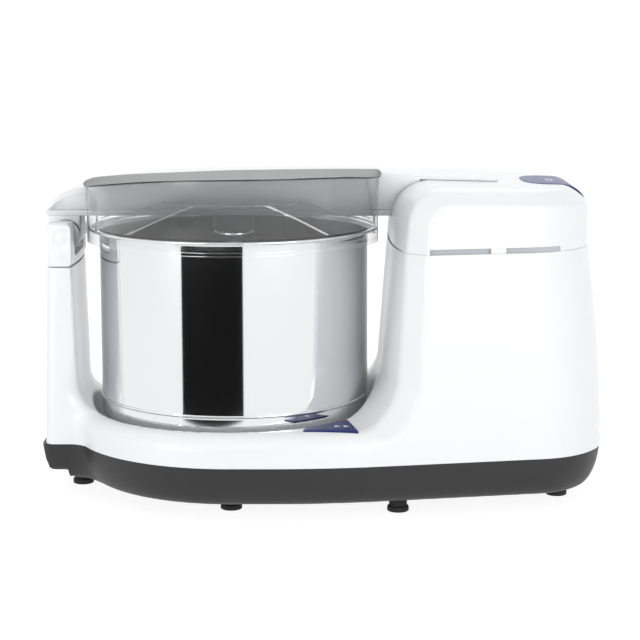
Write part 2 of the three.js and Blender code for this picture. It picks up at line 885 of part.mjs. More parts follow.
// Height of the cover's underside over the switch
const padStemZ = coverZ - (coverFall * (padStemX - towerInner)) / (towerLength - coverRightR);
const switchTop = padStemZ - padFloor - wall - switchGap;

function pushSwitch() {
  const body = block(
    padStemX - switchWidth / 2, padStemX + switchWidth / 2, -switchDepth / 2, switchDepth / 2,
    switchTop - switchHeight, switchTop,
  );
  return body.subtract(disc(padStemHole, switchTop - padStem, switchTop + overrun, coarse, padStemX, 0));
}

const cheekHalf = pillarHalf - pillarLeanShare * (headZ - seamZ) - cheekRecess;

// Pillar head: two cheeks with a slot between them for the arm's lug
function pillarHead() {
  const shell = loft([outline(0, headZ + gap / 2), outline(0, cheekZ)], fromAbove);
  const left = -pillarReach - overrun;
  const keep = block(left, -drumR, -cheekHalf, cheekHalf, headZ, cheekZ + overrun);
  const side = armHalf + lugSide;
  const slot = block(left, -drumR, -side, side, headZ + headWeb, cheekZ + overrun);
  const bore = cheekHalf - pinEnd + gap;
  return shell
    .intersect(keep)
    .subtract(troughCut)
    .subtract(slot)
    .subtract(crossBar(pinR + gap, -bore, bore, pivotX, pivotZ, coarse));
}

function hingePanel(name, side) {
  const left = -pillarReach + panelSide;
  const right = left + panelWidth;
  const low = headZ + panelLow;
  const high = cheekZ - panelHigh;
  const r = panelCornerR;
  const points = [
    [left, low],
    ...arc(right - r, low + r, r, -PI / 2, 0, small),
    ...arc(right - r, high - r, r, 0, PI / 2, small),
    ...arc(left + r, high - r, r, PI / 2, PI, small),
  ];
  const inner = cheekHalf + gap;
  const outer = inner + panelThick;
  const ring = solid(turned([
    [panelCapR - panelCapDepth, outer - panelCapDepth],
    [panelCapR, outer - panelCapDepth],
    [panelCapR, outer + overrun],
    [panelCapR - panelCapDepth, outer + overrun],
    [panelCapR - panelCapDepth, outer - panelCapDepth],
  ], coarse).rotateX(side * PI / 2).translate(pivotX, 0, pivotZ));
  const plate = side > 0 ? frontPrism(points, -outer, -inner) : frontPrism(points, inner, outer);
  place(name, plate.subtract(ring), 'white');
}

// Height of the arm's top at its named stations
const armTop = [
  ...armLeftShares.map(([x, z]) => [-x * pillarReach, armZ + z * armHeight]),
  ...armRightShares.map(([x, z]) => [x * armEndX, armZ + z * armHeight]),
];

// Section of the arm at x: its side is upright at the top and draws in below
function armSection(x, bottom, top, inset) {
  const rim = min(armRim, top - bottom - gap);
  const full = armHalf - inset;
  const edge = min(armEdge, rim / 2);
  const slope = (armHalf - armBottomHalf) / (armHeight - armRim);
  const low = full - slope * max(0, armZ + armHeight - armRim - bottom);
  return [
    [-low, bottom],
    [low, bottom],
    [full, max(top - rim, bottom + gap / 2)],
    [full, top - edge],
    [full - edge, top],
    [edge - full, top],
    [-full, top - edge],
    [-full, max(top - rim, bottom + gap / 2)],
  ].map(([y, z]) => [x, y, z]);
}

function armBody(inset, bottom) {
  const stations = inset > 0 ? armTop.slice(2) : armTop;
  const shrink = ([x]) => (x > armEndX - armWall ? x - inset : x);
  return loft(stations.map((p) => armSection(shrink(p), bottom, p[1] - inset, inset)), fromSide);
}

function tongue() {
  const low = coverZ + gap;
  const rings = tongueShares.map(([share, rise, width]) => {
    const x = armEndX + share * (tongueEndX - armEndX);
    const top = armZ + rise * armHeight;
    const half = armHalf * width;
    const edge = min(armEdge, (top - low) / 2);
    return [
      [x, -half, low],
      [x, half, low],
      [x, half, top - edge],
      [x, half - edge, top],
      [x, edge - half, top],
      [x, -half, top - edge],
    ];
  });
  return loft(rings, fromSide);
}

const trayStart = pivotX + lugR + gap;

function armCover() {
  const outer = armBody(0, armZ);
  const side = armHalf + gap;
  const trayTop = armZ + trayThick + gap;
  const trayRoom = block(trayStart - gap, armEndX + overrun, -side, side, armZ - overrun, trayTop);
  const hollow = armBody(armWall, armZ - overrun);
  return outer.subtract(trayRoom).subtract(hollow).add(tongue());
}

function armTray() {
  const slope = (armHalf - armBottomHalf) / (armHeight - armRim);
  const low = armHalf - slope * (armHeight - armRim);
  const high = low + slope * trayThick;
  const rings = [trayStart, armEndX - trayEndInset].map((x) => [
    [x, -low, armZ],
    [x, low, armZ],
    [x, high, armZ + trayThick],
    [x, -high, armZ + trayThick],
  ]);
  return loft(rings, fromSide);
}

function armFrame() {
  const barZ = armZ + trayThick + gap;
  const bar = block(pivotX, armEndX - frameEndInset, -neckHalf, neckHalf, barZ, barZ + barHeight);
  const neck = block(pivotX - lugNeck, pivotX + lugR - gap, -neckHalf, neckHalf, pivotZ, barZ + barHeight);
  const lug = crossBar(lugR, -armHalf, armHalf, pivotX, pivotZ, medium);
  const bore = crossBar(pinR + gap, -armHalf - overrun, armHalf + overrun, pivotX, pivotZ, coarse);
  return lug.add(neck).add(bar).subtract(bore);
}

// Half of the lid's top plate as sections from left to right; side is -1 in front and 1 behind
function lidSlab(side, below, above, fall) {
  const rings = lidTopShares.map(([share, drop]) => {
    const x = share * brimR;
    const edge = sqrt(brimR ** 2 - x ** 2);
    const inner = armHalf + gap;
    const top = armZ + lidTopRise - drop * armHeight;
    const sideShare = abs(share) ** lidSidePower;
    const round = min(lidSideRound * sideShare, lidRoundShare * (edge - inner));
    const slope = fall / (brimR - inner);
    const shoulder = edge - round;
    const shoulderZ = top - slope * (shoulder - inner);
    const sideFall = lidSideDrop * sideShare * min(1, (edge - inner) / lidSideRound);
    const edgeZ = top - slope * (edge - inner) - sideFall;
    return [
      [inner, top + above],
      [shoulder, shoulderZ + above],
      [edge, edgeZ + above],
      [edge, edgeZ - below],
      [shoulder, shoulderZ - below],
      [inner, top - below],
    ].map(([y, z]) => [x, side * y, z]);
  });
  return loft(rings, fromSide);
}

function lidHalf(side, fall) {
  const plate = lidSlab(side, lidPlate, 0, fall);
  const under = lidSlab(side, drumR, -lidPlate / 2, fall);
  const skirt = sleeve(skirtInnerR, skirtR, skirtZ, armZ + lidTopRise, fine).intersect(under);
  return plate.add(skirt);
}

function splashGuard(side) {
  const low = rimZ + guardRimGap;
  const outer = skirtInnerR - gap;
  const ridge = low + guardRise;
  const profile = [
    [outer, low],
    [outer, low + guardWall],
    [guardR, ridge + guardWall],
    [guardHoleR, ridge - guardFall + guardWall],
    [guardHoleR, ridge - guardFall],
    [guardR, ridge],
    [outer, low],
  ];
  const cone = solid(turned(profile, fine));
  const near = armHalf + guardArmGap;
  const [front, back] = side < 0 ? [-brimR, -near] : [near, brimR];
  return cone.intersect(block(-brimR, brimR, front, back, rimZ, armZ + armHeight));
}

function drum() {
  const r = drumR;
  const t = drumSheet;
  const c = drumCornerR;
  const z = drumZ;
  const outerCorner = arc(r - c, z + c, c, -PI / 2, 0, turnSteps);
  const innerCorner = arc(r - c, z + c, c - t, 0, -PI / 2, turnSteps);
  const bead = z + drumBeadRise;
  const lipZ = rimZ - rimTube;
  const profile = [
    [0, z],
    ...outerCorner,
    [r, bead - drumBeadR],
    [r + drumBeadR, bead],
    [r, bead + drumBeadR],
    [r, rimZ - rimFlare],
    [r + rimOut / 3, rimZ - rimFlare / 2],
    [rimR - rimTube / 2, lipZ],
    [rimR, lipZ + rimTube / 2],
    [rimR - rimTube / 2, rimZ],
    [rimR - rimTube, rimZ - rimTube / 4],
    [r + rimOut / 3 - t, rimZ - rimFlare / 2 + t / 2],
    [r - t, rimZ - rimFlare],
    ...innerCorner,
    [0, z + t],
  ];
  return solid(turned(profile, fine));
}

function baseStone() {
  const low = drumZ + drumSheet + gap;
  const profile = [
    [stoneHoleR, low],
    [stoneR, low],
    [stoneR, stoneZ - stoneEdge],
    [stoneR - stoneEdge, stoneZ],
    [stoneHoleR, stoneZ],
    [stoneHoleR, low],
  ];
  return solid(turned(profile, fine));
}

const postZ = drumZ + drumSheet + gap;
const postTop = postZ + postHeight;

function centrePost() {
  const flange = stoneZ + postFlangeRise;
  const profile = [
    [0, postZ],
    [postFlangeR, postZ],
    [postFlangeR, flange],
    [postR, flange],
    [postR, postTop],
    [0, postTop],
  ];
  return solid(turned(profile, medium));
}

const apexZ = stoneZ + rollerLift;
const rollerOuter = rollerReach * cos(rollerHalfAngle);

// The direction of roller number i, as a group whose +Z is the roller's axis and whose origin is its apex
function rollerFrame(i) {
  const frame = new THREE.Group();
  frame.position.z = apexZ;
  frame.rotation.set(0, PI / 2 - rollerHalfAngle, rollerTurn + (2 * PI * i) / rollerCount, 'ZYX');
  return frame;
}

function rollerStone() {
  const slope = tan(rollerHalfAngle);
  const bore = axleR + gap;
  const profile = [
    [bore, rollerInner],
    [rollerInner * slope, rollerInner],
    [(rollerOuter - rollerEdge) * slope, rollerOuter - rollerEdge],
    [rollerOuter * slope - rollerEdge, rollerOuter],
    [bore, rollerOuter],
    [bore, rollerInner],
  ];
  return solid(turned(profile, medium));
}

function rollerAxle() {
  const high = rollerOuter + gap;
  const profile = [
    [0, axleInner],
    [axleR, axleInner],
    [axleR, high],
    [axleHeadR, high],
    [axleHeadR, high + axleHead - axleRound],
    [axleHeadR - axleRound, high + axleHead],
    [0, high + axleHead],
  ];
  return solid(turned(profile, coarse));
}

const holderTop = postTop + gap + holderTopWall;

// The holder's hub drops over the centre post and carries the three axles
function rollerHolder() {
  const low = stoneZ + holderStart;
  let holder = disc(postR + gap + holderWall, low, holderTop, medium);
  for (let i = 0; i < rollerCount; i++) {
    const frame = rollerFrame(i);
    frame.updateMatrixWorld();
    const arm = turned([
      [0, postR + holderWall / 2],
      [holderBossR, postR + holderWall / 2],
      [holderBossR, rollerInner - holderBossGap],
      [0, rollerInner - holderBossGap],
    ], coarse).applyMatrix4(frame.matrixWorld);
    holder = holder.add(solid(arm));
  }
  const flange = stoneZ + postFlangeRise;
  holder = holder
    .subtract(disc(postR + gap, low - overrun, postTop + gap, medium))
    .subtract(disc(postFlangeR + gap, stoneZ, flange + gap, medium));
  for (let i = 0; i < rollerCount; i++) {
    const frame = rollerFrame(i);
    frame.updateMatrixWorld();
    const bore = turned([
      [0, axleInner - gap],
      [axleR + gap, axleInner - gap],
      [axleR + gap, rollerInner + overrun],
      [0, rollerInner + overrun],
    ], coarse).applyMatrix4(frame.matrixWorld);
    holder = holder.subtract(solid(bore));
  }
  return holder;
}

const bossTop = armZ - gap;
const bossLow = bossTop - pressHeight;

// The boss is open through its middle: the plunger slides in it
function pressureBoss() {
  const bore = bossRodR + gap;
  const profile = [
    [bore, bossTop],
    [bore, bossLow],
    [pressR - pressRound, bossLow],
    [pressR, bossLow + pressRound],
    [pressR, bossTop],
    [bore, bossTop],
  ];
  return solid(turned(profile, medium));
}

function plunger() {
  const low = holderTop + gap;
  const high = bossLow + plungerInside - pressTravelRoom;
  const profile = [
    [0, low],
    [plungerHeadR, low],
    [plungerHeadR, low + plungerHead],
    [bossRodR, low + plungerHead + footRound],
    [bossRodR, high],
    [0, high],
  ];
  return solid(turned(profile, coarse));
}

// Drive under the well
const pulleyZ = footHeight + panFloor + pulleyLift;
const couplingZ = wellFloorZ + couplingGap;
const spindleTop = couplingZ + couplingHeight + spindleTip;

function driveCoupling() {
  return sleeve(spindleR + gap, couplingR, couplingZ, couplingZ + couplingHeight, coarse);
}

function baseCup() {
  const high = drumZ - cupGap;
  const low = high - cupDrop;
  const profile = [
    [0, high],
    [0, spindleTop + gap],
    [spindleR + gap, spindleTop + gap],
    [spindleR + gap, couplingZ + couplingHeight + gap],
    [couplingR + gap, couplingZ + couplingHeight + gap],
    [couplingR + gap, low],
    [cupR, low],
    [cupR, high],
    [0, high],
  ];
  return solid(turned(profile, medium));
}

function drumPulley() {
  const low = pulleyZ;
  const high = low + pulleyWidth;
  const middle = (low + high) / 2;
  const web = pulleyWeb / 2;
  const profile = [
    [spindleR + gap, low],
    [pulleyHubR, low],
    [pulleyHubR, middle - web],
    [pulleyR - pulleyRim, middle - web],
    [pulleyR - pulleyRim, low],
    [pulleyR, low],
    [pulleyR, high],
    [pulleyR - pulleyRim, high],
    [pulleyR - pulleyRim, middle + web],
    [pulleyHubR, middle + web],
    [pulleyHubR, high],
    [spindleR + gap, high],
    [spindleR + gap, low],
  ];
  return solid(turned(profile, medium));
}

// Belt round both pulleys: two straight runs and an arc on each pulley
function driveBelt() {
  const swing = Math.acos((pulleyR - motorPulleyR) / shaftX);
  const loop = (grow) => [
    ...arc(0, 0, pulleyR + grow, swing, 2 * PI - swing, medium),
    ...arc(shaftX, 0, motorPulleyR + grow, -swing, swing, bend),
  ];
  const low = pulleyZ + (pulleyWidth - beltWidth) / 2;
  const outer = prism(loop(beltGap + beltThick), low, low + beltWidth);
  const inner = prism(loop(beltGap), low - overrun, low + beltWidth + overrun);
  return outer.subtract(inner);
}

const bearingTop = wellFloorZ - gap;
const bearingLow = bearingTop - 2 * bearingHeight - bearingGap;

function bearingHousing() {
  const outer = bearingR + gap + bearingWall;
  const flangeZ = wellFloorZ - wall - gap;
  const low = bearingLow;
  const profile = [
    [bearingR + gap, low],
    [outer, low],
    [outer, flangeZ - flangeHeight],
    [flangeR, flangeZ - flangeHeight],
    [flangeR, flangeZ],
    [outer, flangeZ],
    [outer, wellFloorZ],
    [bearingR + gap, wellFloorZ],
    [bearingR + gap, low],
  ];
  return solid(turned(profile, medium));
}

// Motor, standing on its plate in the tower
const plateZ = seamZ + plateLift;
const motorZ = plateZ + plateThick + gap;
const statorZ = motorZ + motorCapHeight + windingHeight;
const statorTop = statorZ + motorHeight;
const motorTop = statorTop + windingHeight + motorCapHeight;

function motorPlate() {
  const c = plateCorner;
  const points = [
    ...arc(plateStart + c, c - plateHalf, c, -PI, -PI / 2, small),
    ...arc(plateEnd - c, c - plateHalf, c, -PI / 2, 0, small),
    ...arc(plateEnd - c, plateHalf - c, c, 0, PI / 2, small),
    ...arc(plateStart + c, plateHalf - c, c, PI / 2, PI, small),
  ];
  const plate = prism(points, plateZ, plateZ + plateThick);
  return plate.subtract(disc(motorHubR, plateZ - overrun, plateZ + overrun + plateThick, coarse, shaftX, 0));
}

function stator() {
  const core = disc(motorR, statorZ, statorTop, medium).intersect(
    block(-motorFlat, motorFlat, -motorFlat, motorFlat, statorZ, statorTop),
  );
  return core.subtract(disc(rotorR + rotorGap, statorZ - overrun, statorTop + overrun, medium));
}

// A ring of windings at each end of the stator
function winding(low) {
  return sleeve(rotorR + windingGap, windingR, low + gap, low + windingHeight - gap, medium);
}

// End plate of the motor with the pocket for its bearing, open towards the motor
function endCap(low, upper) {
  const high = low + motorCapHeight - gap;
  const [pocketLow, pocketHigh] = upper
    ? [low - overrun, low + motorBearingHeight]
    : [low + motorCapHeight - motorBearingHeight, high + overrun];
  return disc(motorCapR, low, high, medium)
    .intersect(block(-motorFlat, motorFlat, -motorFlat, motorFlat, low, high))
    .subtract(disc(motorBearingR + gap, pocketLow, pocketHigh, coarse))
    .subtract(disc(shaftR + 2 * gap, low - overrun, high + overrun, coarse));
}

function rotor() {
  const low = pulleyZ - gap;
  const high = motorTop + shaftTop;
  const profile = [
    [0, low],
    [shaftR, low],
    [shaftR, statorZ],
    [rotorR, statorZ],
    [rotorR, statorTop],
    [shaftR, statorTop],
    [shaftR, high],
    [0, high],
  ];
  return solid(turned(profile, medium));
}

function coolingFan() {
  const low = motorTop + 2 * gap;
  let fan = disc(fanR, low, low + fanPlate, medium).add(disc(fanHubR, low, low + fanHeight, coarse));
  for (let i = 0; i < bladeCount; i++) {
    const angle = (2 * PI * i) / bladeCount;
    const blade = new THREE.BoxGeometry(fanR - fanHubR, bladeThick, fanHeight);
    blade.translate((fanR + fanHubR) / 2 - bladeThick, 0, low + fanHeight / 2);
    blade.rotateZ(angle);
    fan = fan.add(solid(blade));
  }
  return fan.subtract(disc(shaftR + gap, low - overrun, low + fanHeight + overrun, coarse));
}

function buildBody() {
  place('main_housing', housing(), 'white');
  place('base_pan', basePan(), 'dark');
  place('tower_cover', towerCover(), 'white');
  place('slot_liner', slotLiner(), 'shade');
  place('pillar_head', pillarHead(), 'white');
  hingePanel('hinge_panel_front', 1);
  hingePanel('hinge_panel_rear', -1);
  place('hinge_pin', crossBar(pinR, pinEnd - cheekHalf, cheekHalf - pinEnd, pivotX, pivotZ, coarse), 'steel');
  gland();
  const footMidX = towerInner + footMidInset;
  const towerFootY = (x) => (towerFront - x * sin(towerFrontAngle)) / cos(towerFrontAngle) - footTowerInset;
  const heelFootX = -(pillarReach - footHeelInset);
  const feet = [
    ['centre', 0, bulgeR - footInset],
    ['tower', footMidX, towerFootY(footMidX)],
    ['corner', towerReach - footFarInset, footFarY],
  ];
  for (const [label, x, y] of feet) {
    foot(`foot_${label}_front`, x, -y, footHeight);
    foot(`foot_${label}_rear`, x, y, footHeight);
  }
  foot('foot_pillar', heelFootX, 0, footHeight + heelStepRise);
}

function buildControls() {
  place('power_pad', powerPad(), 'blue');
  place('push_switch', pushSwitch(), 'dark');
  place('drum_release_key', releaseKey(), 'blue');
}

function buildDrum() {
  place('drum', drum(), 'steel');
  place('drum_base_cup', baseCup(), 'grey');
  place('base_stone', baseStone(), 'granite');
  place('centre_post', centrePost(), 'steel');
  place('drive_coupling', driveCoupling(), 'iron');
  place('drum_spindle', disc(spindleR, pulleyZ - spindleFoot, spindleTop, coarse), 'steel');
  place('drum_pulley', drumPulley(), 'grey');
}

function buildRollers() {
  place('roller_holder', rollerHolder(), 'grey');
  for (let i = 0; i < rollerCount; i++) {
    const frame = rollerFrame(i);
    machine.add(frame);
    place(`roller_stone_${i + 1}`, rollerStone(), 'granite', frame);
    place(`roller_axle_${i + 1}`, rollerAxle(), 'steel', frame);
  }
}

function buildDrive() {
  place('bearing_housing', bearingHousing(), 'iron');
  const low = bearingLow;
  const high = bearingTop - bearingHeight;
  place('spindle_bearing_lower', sleeve(spindleR + gap, bearingR, low, low + bearingHeight, coarse), 'steel');
  place('spindle_bearing_upper', sleeve(spindleR + gap, bearingR, high, bearingTop, coarse), 'steel');
  place('drive_belt', driveBelt(), 'rubber');
}

function buildMotor() {
  place('motor_plate', motorPlate(), 'iron');
  const motor = new THREE.Group();
  motor.position.x = shaftX;
  machine.add(motor);
  place('motor_stator', stator(), 'iron', motor);
  place('winding_lower', winding(statorZ - windingHeight), 'copper', motor);
  place('winding_upper', winding(statorTop), 'copper', motor);
  place('motor_cap_lower', endCap(motorZ, false), 'grey', motor);
  place('motor_cap_upper', endCap(motorTop - motorCapHeight, true), 'grey', motor);
  const ring = (low) => sleeve(shaftR + gap, motorBearingR, low, low + motorBearingHeight - gap, coarse);
  place('motor_bearing_lower', ring(motorZ + motorCapHeight - motorBearingHeight + gap), 'steel', motor);
  place('motor_bearing_upper', ring(motorTop - motorCapHeight), 'steel', motor);
  place('motor_rotor', rotor(), 'iron', motor);
  const pulley = sleeve(shaftR + gap, motorPulleyR, pulleyZ, pulleyZ + pulleyWidth, coarse);
  place('motor_pulley', pulley, 'steel', motor);
  place('cooling_fan', coolingFan(), 'dark', motor);
  const shelf = plateZ + plateThick + gap;
  const can = disc(capacitorR, shelf, shelf + capacitorHeight, coarse);
  const canX = towerReach - capacitorInset;
  const canY = sqrt((motorR + capacitorGap + capacitorR) ** 2 - (canX - shaftX) ** 2);
  place('run_capacitor', can.translate([canX, canY, 0]), 'grey');
  const boardX = towerInner + boardInset;
  const [reach, top] = [boardLength / 2, shelf + boardHeight];
  place('control_board', block(boardX, boardX + boardThick, -reach, reach, shelf, top), 'board');
}

function buildArm() {
  place('arm_frame', armFrame(), 'iron');
  place('arm_tray', armTray(), 'white');
  place('arm_cover', armCover(), 'white');
  place('lid_front', lidHalf(-1, 0), 'smoke');
  place('lid_rear', lidHalf(1, lidRearFall), 'smoke');
  place('splash_guard_front', splashGuard(-1), 'smoke');
  place('splash_guard_rear', splashGuard(1), 'smoke');
  place('pressure_boss', pressureBoss(), 'grey');
  const ringTop = bossLow - pressRingGap;
  place('boss_ring', sleeve(bossRodR + gap, pressRingR, ringTop - pressRingHeight, ringTop, medium), 'steel');
  place('boss_plunger', plunger(), 'steel');
}

buildBody();
buildControls();
buildDrum();
buildRollers();
buildDrive();
buildMotor();
buildArm();

export default root;
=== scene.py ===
import math

import bmesh
import bpy
import numpy as np
from bpy.props import FloatProperty, FloatVectorProperty, PointerProperty
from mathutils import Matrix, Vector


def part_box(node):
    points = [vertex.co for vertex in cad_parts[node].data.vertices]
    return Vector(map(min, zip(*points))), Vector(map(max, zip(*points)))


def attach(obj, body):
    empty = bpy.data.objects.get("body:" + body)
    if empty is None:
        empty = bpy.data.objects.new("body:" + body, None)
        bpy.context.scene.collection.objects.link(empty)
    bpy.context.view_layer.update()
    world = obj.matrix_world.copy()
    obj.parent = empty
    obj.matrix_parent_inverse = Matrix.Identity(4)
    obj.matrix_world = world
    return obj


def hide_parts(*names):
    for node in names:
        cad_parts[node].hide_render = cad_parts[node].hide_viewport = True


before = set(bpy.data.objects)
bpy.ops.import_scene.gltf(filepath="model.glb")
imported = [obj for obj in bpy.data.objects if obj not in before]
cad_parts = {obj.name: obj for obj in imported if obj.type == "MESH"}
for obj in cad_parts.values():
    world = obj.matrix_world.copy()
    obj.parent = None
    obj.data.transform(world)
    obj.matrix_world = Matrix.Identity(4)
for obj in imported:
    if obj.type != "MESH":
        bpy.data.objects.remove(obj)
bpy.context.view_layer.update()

bl_info = {
    "name": "Wet grinder",
    "version": (1, 0, 0),
    "blender": (4, 5, 0),
    "location": "View3D > Sidebar > Grinder",
    "description": "Dresses the frame of a table-top wet grinder",
    "category": "Object",
}

# Places that follow the frame. Shapes are worked out in metres about the drum's axis and then moved to it.
DRUM_LOW, DRUM_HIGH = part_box("drum")
AXIS_X = (DRUM_LOW.x + DRUM_HIGH.x) / 2
HOUSING_LOW, HOUSING_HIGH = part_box("main_housing")
COVER_LOW, COVER_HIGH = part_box("tower_cover")
HEAD_LOW, HEAD_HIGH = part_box("pillar_head")
TRAY_LOW, TRAY_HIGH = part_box("arm_tray")
LID_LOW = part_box("lid_front")[0]
PAN_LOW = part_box("base_pan")[0]
ARM_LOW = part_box("arm_cover")[0]
SEAM_Z = HOUSING_LOW.z
REACH_LEFT = AXIS_X - HOUSING_LOW.x
REACH_RIGHT = HOUSING_HIGH.x - AXIS_X
BULGE = -HOUSING_LOW.y
RIM_R = DRUM_HIGH.x - AXIS_X
LID_R = -LID_LOW.y

# Form of the shells that a user wouldn't change, in metres. A lean is how far a face draws in for each metre up.
SIDE_LEAN = 0.0445  # housing's front and rear
PILLAR_LEAN = 0.027  # pillar's outer faces
TOWER_LEAN = 0.074  # tower's inner face
PILLAR_INNER_LEAN = 0.028  # pillar's inner face
END_DRAW, END_BOW = 0.018, 1.8  # right end at the cover seam, and the power of the height that bows it
TOWER_FLARE, TOWER_EDGE = 0.022, 0.15  # the tower's inner face draws back so far, at such a depth
PILLAR_FLARE = 0.004  # the same for the pillar, at its half width
FRONT_SLANT = math.radians(10.6)  # tower's front in plan
FRONT_BLEND, PILLAR_BLEND = 0.011, 0.012  # where the slanted front and the pillar join the bulge round the drum
TOWER_FOOT, PILLAR_FOOT = 0.048, 0.028  # hollows where the inner faces meet the deck
FACET_EDGE = 0.0015  # edges of the tower's facets
PAN_FLOOR = 0.017  # underside of the base
SEAM_GAP = 0.0003
HEAD_SLOT_HALF = 0.03725  # room for the arm's lug between the head's cheeks
CHANNEL_HALF, CHANNEL_END, CHANNEL_FLOOR = 0.0365, 0.2035, 0.3035  # the cover's channel for the arm's end
COVER_SLOTS, COVER_SLOT_HEIGHT = ((0.2063, 0.0635), (0.2856, 0.058)), 0.0056  # each slot's left end and length
ARM_HALF = 0.035  # half the arm's width from the height ARM_WIDE_Z upwards
ARM_DRAW, ARM_WIDE_Z = 0.243, 0.342  # how far it draws in for each metre below that height
ARM_PART_Z = 0.3104  # parting line between the arm's cover and its tray
PAD_PROUD = 0.0006  # the pad's face over the cover

# Room round a shell in its lattice, and the distance below which two points are one
MARGIN, WELD = 0.012, 0.00002


def linear(code):
    """Turns an sRGB hex colour into the linear values that Blender's sockets take."""
    parts = [int(code[i : i + 2], 16) / 255 for i in (1, 3, 5)]
    return tuple(v / 12.92 if v <= 0.04045 else ((v + 0.055) / 1.055) ** 2.4 for v in parts)


def length(name, description, default):
    """A size property in metres."""
    return FloatProperty(name=name, description=description, default=default, unit="LENGTH", precision=4)


def colour(name, description, code):
    """A colour property from an sRGB hex code."""
    return FloatVectorProperty(name=name, description=description, default=linear(code), subtype="COLOR", size=3)


class GrinderSizes(bpy.types.PropertyGroup):
    """Sizes in metres."""

    wall: length("Wall", "Thickness of the moulded shells", 0.003)
    deck_z: length("Deck", "Height of the deck in front of the drum", 0.095)
    well_r: length("Well radius", "Radius of the well in which the drum stands", 0.157)
    well_floor_z: length("Well floor", "Height of the well's floor", 0.066)
    soft_edge: length("Soft edge", "Rounding where the trough meets the outer faces", 0.018)
    pillar_half: length("Pillar half width", "Half the depth of the left pillar at the seam", 0.068)
    pillar_corner: length("Pillar corner", "Rounding of the pillar's upright edges", 0.009)
    pillar_inner: length("Pillar inner face", "Drum axis to the pillar's inner face at its seam", 0.1683)
    tower_inner: length("Tower inner face", "Drum axis to the tower's inner face at the cover seam", 0.169)
    tower_front: length("Tower front", "Drum axis square to the tower's slanted front", 0.1915)
    tower_corner: length("Tower corner", "Rounding of the tower's upright corners in plan", 0.07)
    bevel_width: length("Bevel width", "Width of the flat facet along the cover's front and rear", 0.022)
    bevel_height: length("Bevel height", "Height of the same facet", 0.013)
    cover_left: length("Cover inner edge", "Rounding of the cover's top over the drum", 0.038)
    cover_right: length("Cover outer edge", "Rounding of the cover's top at its right end", 0.03)
    cover_fall: length("Cover fall", "How much lower the cover's top lies at its right end", 0.006)
    shell_step: length("Shell step", "Lattice step of the large shells", 0.004)
    fine_step: length("Fine step", "Lattice step of the small shells", 0.0025)
    drum_r: length("Drum radius", "Outside of the drum's wall", 0.147)
    drum_sheet: length("Drum sheet", "Thickness of the drum's steel", 0.0015)
    drum_corner: length("Drum corner", "Rounding between the drum's bottom and its wall", 0.013)
    drum_bead: length("Drum bead", "Height of the pressed line above the drum's bottom", 0.0295)
    drum_roll: length("Drum rim roll", "Radius of the rolled edge of the drum's rim", 0.0017)
    lid_sheet: length("Lid sheet", "Thickness of the lid's plastic", 0.0018)
    lid_slot: length("Lid slot", "Half the width of the slot for the arm between the lid's halves", 0.0353)
    guard_sheet: length("Guard sheet", "Thickness of the splash guards", 0.0009)
    pad_half: length("Pad half width", "Half the greatest depth of the push pad", 0.047)
    key_rounding: length("Key rounding", "Rounding of the release key's edges", 0.0018)


class GrinderColours(bpy.types.PropertyGroup):
    """Colours as they show under white light."""

    white: colour("White shell", "Moulded white plastic", "#F1F2F4")
    base: colour("Base", "Dark grey plastic of the base", "#1A1A1C")
    navy: colour("Navy", "Plastic of the push pad's edge and the release key", "#1C2A66")
    pad: colour("Pad face", "Top face of the push pad", "#26366F")
    smoke: colour("Smoked lid", "Tint of the lid's clear plastic", "#FAFBFB")
    plate: colour("Lid plate", "Frosted top of the lid", "#A9AAAB")
    steel: colour("Drum steel", "Polished stainless steel", "#E4E5E6")
    granite: colour("Granite", "Ground dark stone", "#4A4B4E")
    rubber: colour("Rubber", "Feet, belt and cable inlet", "#232324")
    shade: colour("Grey trim", "Grey plastic behind the cover's slots", "#B9BCC0")
    grey: colour("Grey plastic", "Pressure boss and roller holder", "#6E7174")
    floor: colour("Floor", "Pale floor and backdrop", "#FFFFFF")


def sizes():
    """The scene's sizes."""
    return bpy.context.scene.grinder_sizes


def colours():
    """The scene's colours."""
    return bpy.context.scene.grinder_colours


# Materials


def add(tree, kind, inputs=None, **settings):
    """Adds a node, sets its properties, and fills or links its inputs by name or number."""
    made = tree.nodes.new(kind)
    for key, value in settings.items():
        setattr(made, key, value)
    for key, value in (inputs or {}).items():
        socket = made.inputs[key]
        if isinstance(value, bpy.types.NodeSocket):
            tree.links.new(value, socket)
        elif socket.type == "RGBA" and len(value) == 3:
            socket.default_value = (*value, 1)
        else:
            socket.default_value = value
    return made


def empty_material(name):
    """A new material without nodes, and its node tree."""
    material = bpy.data.materials.new(name)
    material.use_nodes = True
    material.node_tree.nodes.clear()
    return material, material.node_tree


def finish_named(name, build, **shader):
    """Makes the material once. build(tree) gives what varies over the surface, and shader holds the constants."""
    known = bpy.data.materials.get(name)
    if known:
        return known
    material, tree = empty_material(name)
    surface = add(tree, "ShaderNodeBsdfPrincipled", {**shader, **build(tree)})
    add(tree, "ShaderNodeOutputMaterial", {"Surface": surface.outputs["BSDF"]})
    return material


def place_of(tree, stretch=(1, 1, 1)):
    """Object coordinates about the drum's axis. A pattern is finer by stretch along each axis."""
    where = add(tree, "ShaderNodeTexCoord").outputs["Object"]
    mapping = {"Vector": where, "Location": (-AXIS_X, 0, 0), "Scale": stretch}
    return add(tree, "ShaderNodeMapping", mapping).outputs["Vector"]


def mottle(tree, base, grain, spread):
    """A colour that varies between base and a share of spread below it, in patches of about grain metres."""
    noise = add(tree, "ShaderNodeTexNoise", {"Vector": place_of(tree), "Scale": 1 / grain, "Detail": 3.0})
    mixed = {0: noise.outputs["Fac"], 6: [v * (1 - spread) for v in base], 7: base}
    return add(tree, "ShaderNodeMix", mixed, data_type="RGBA").outputs[2]


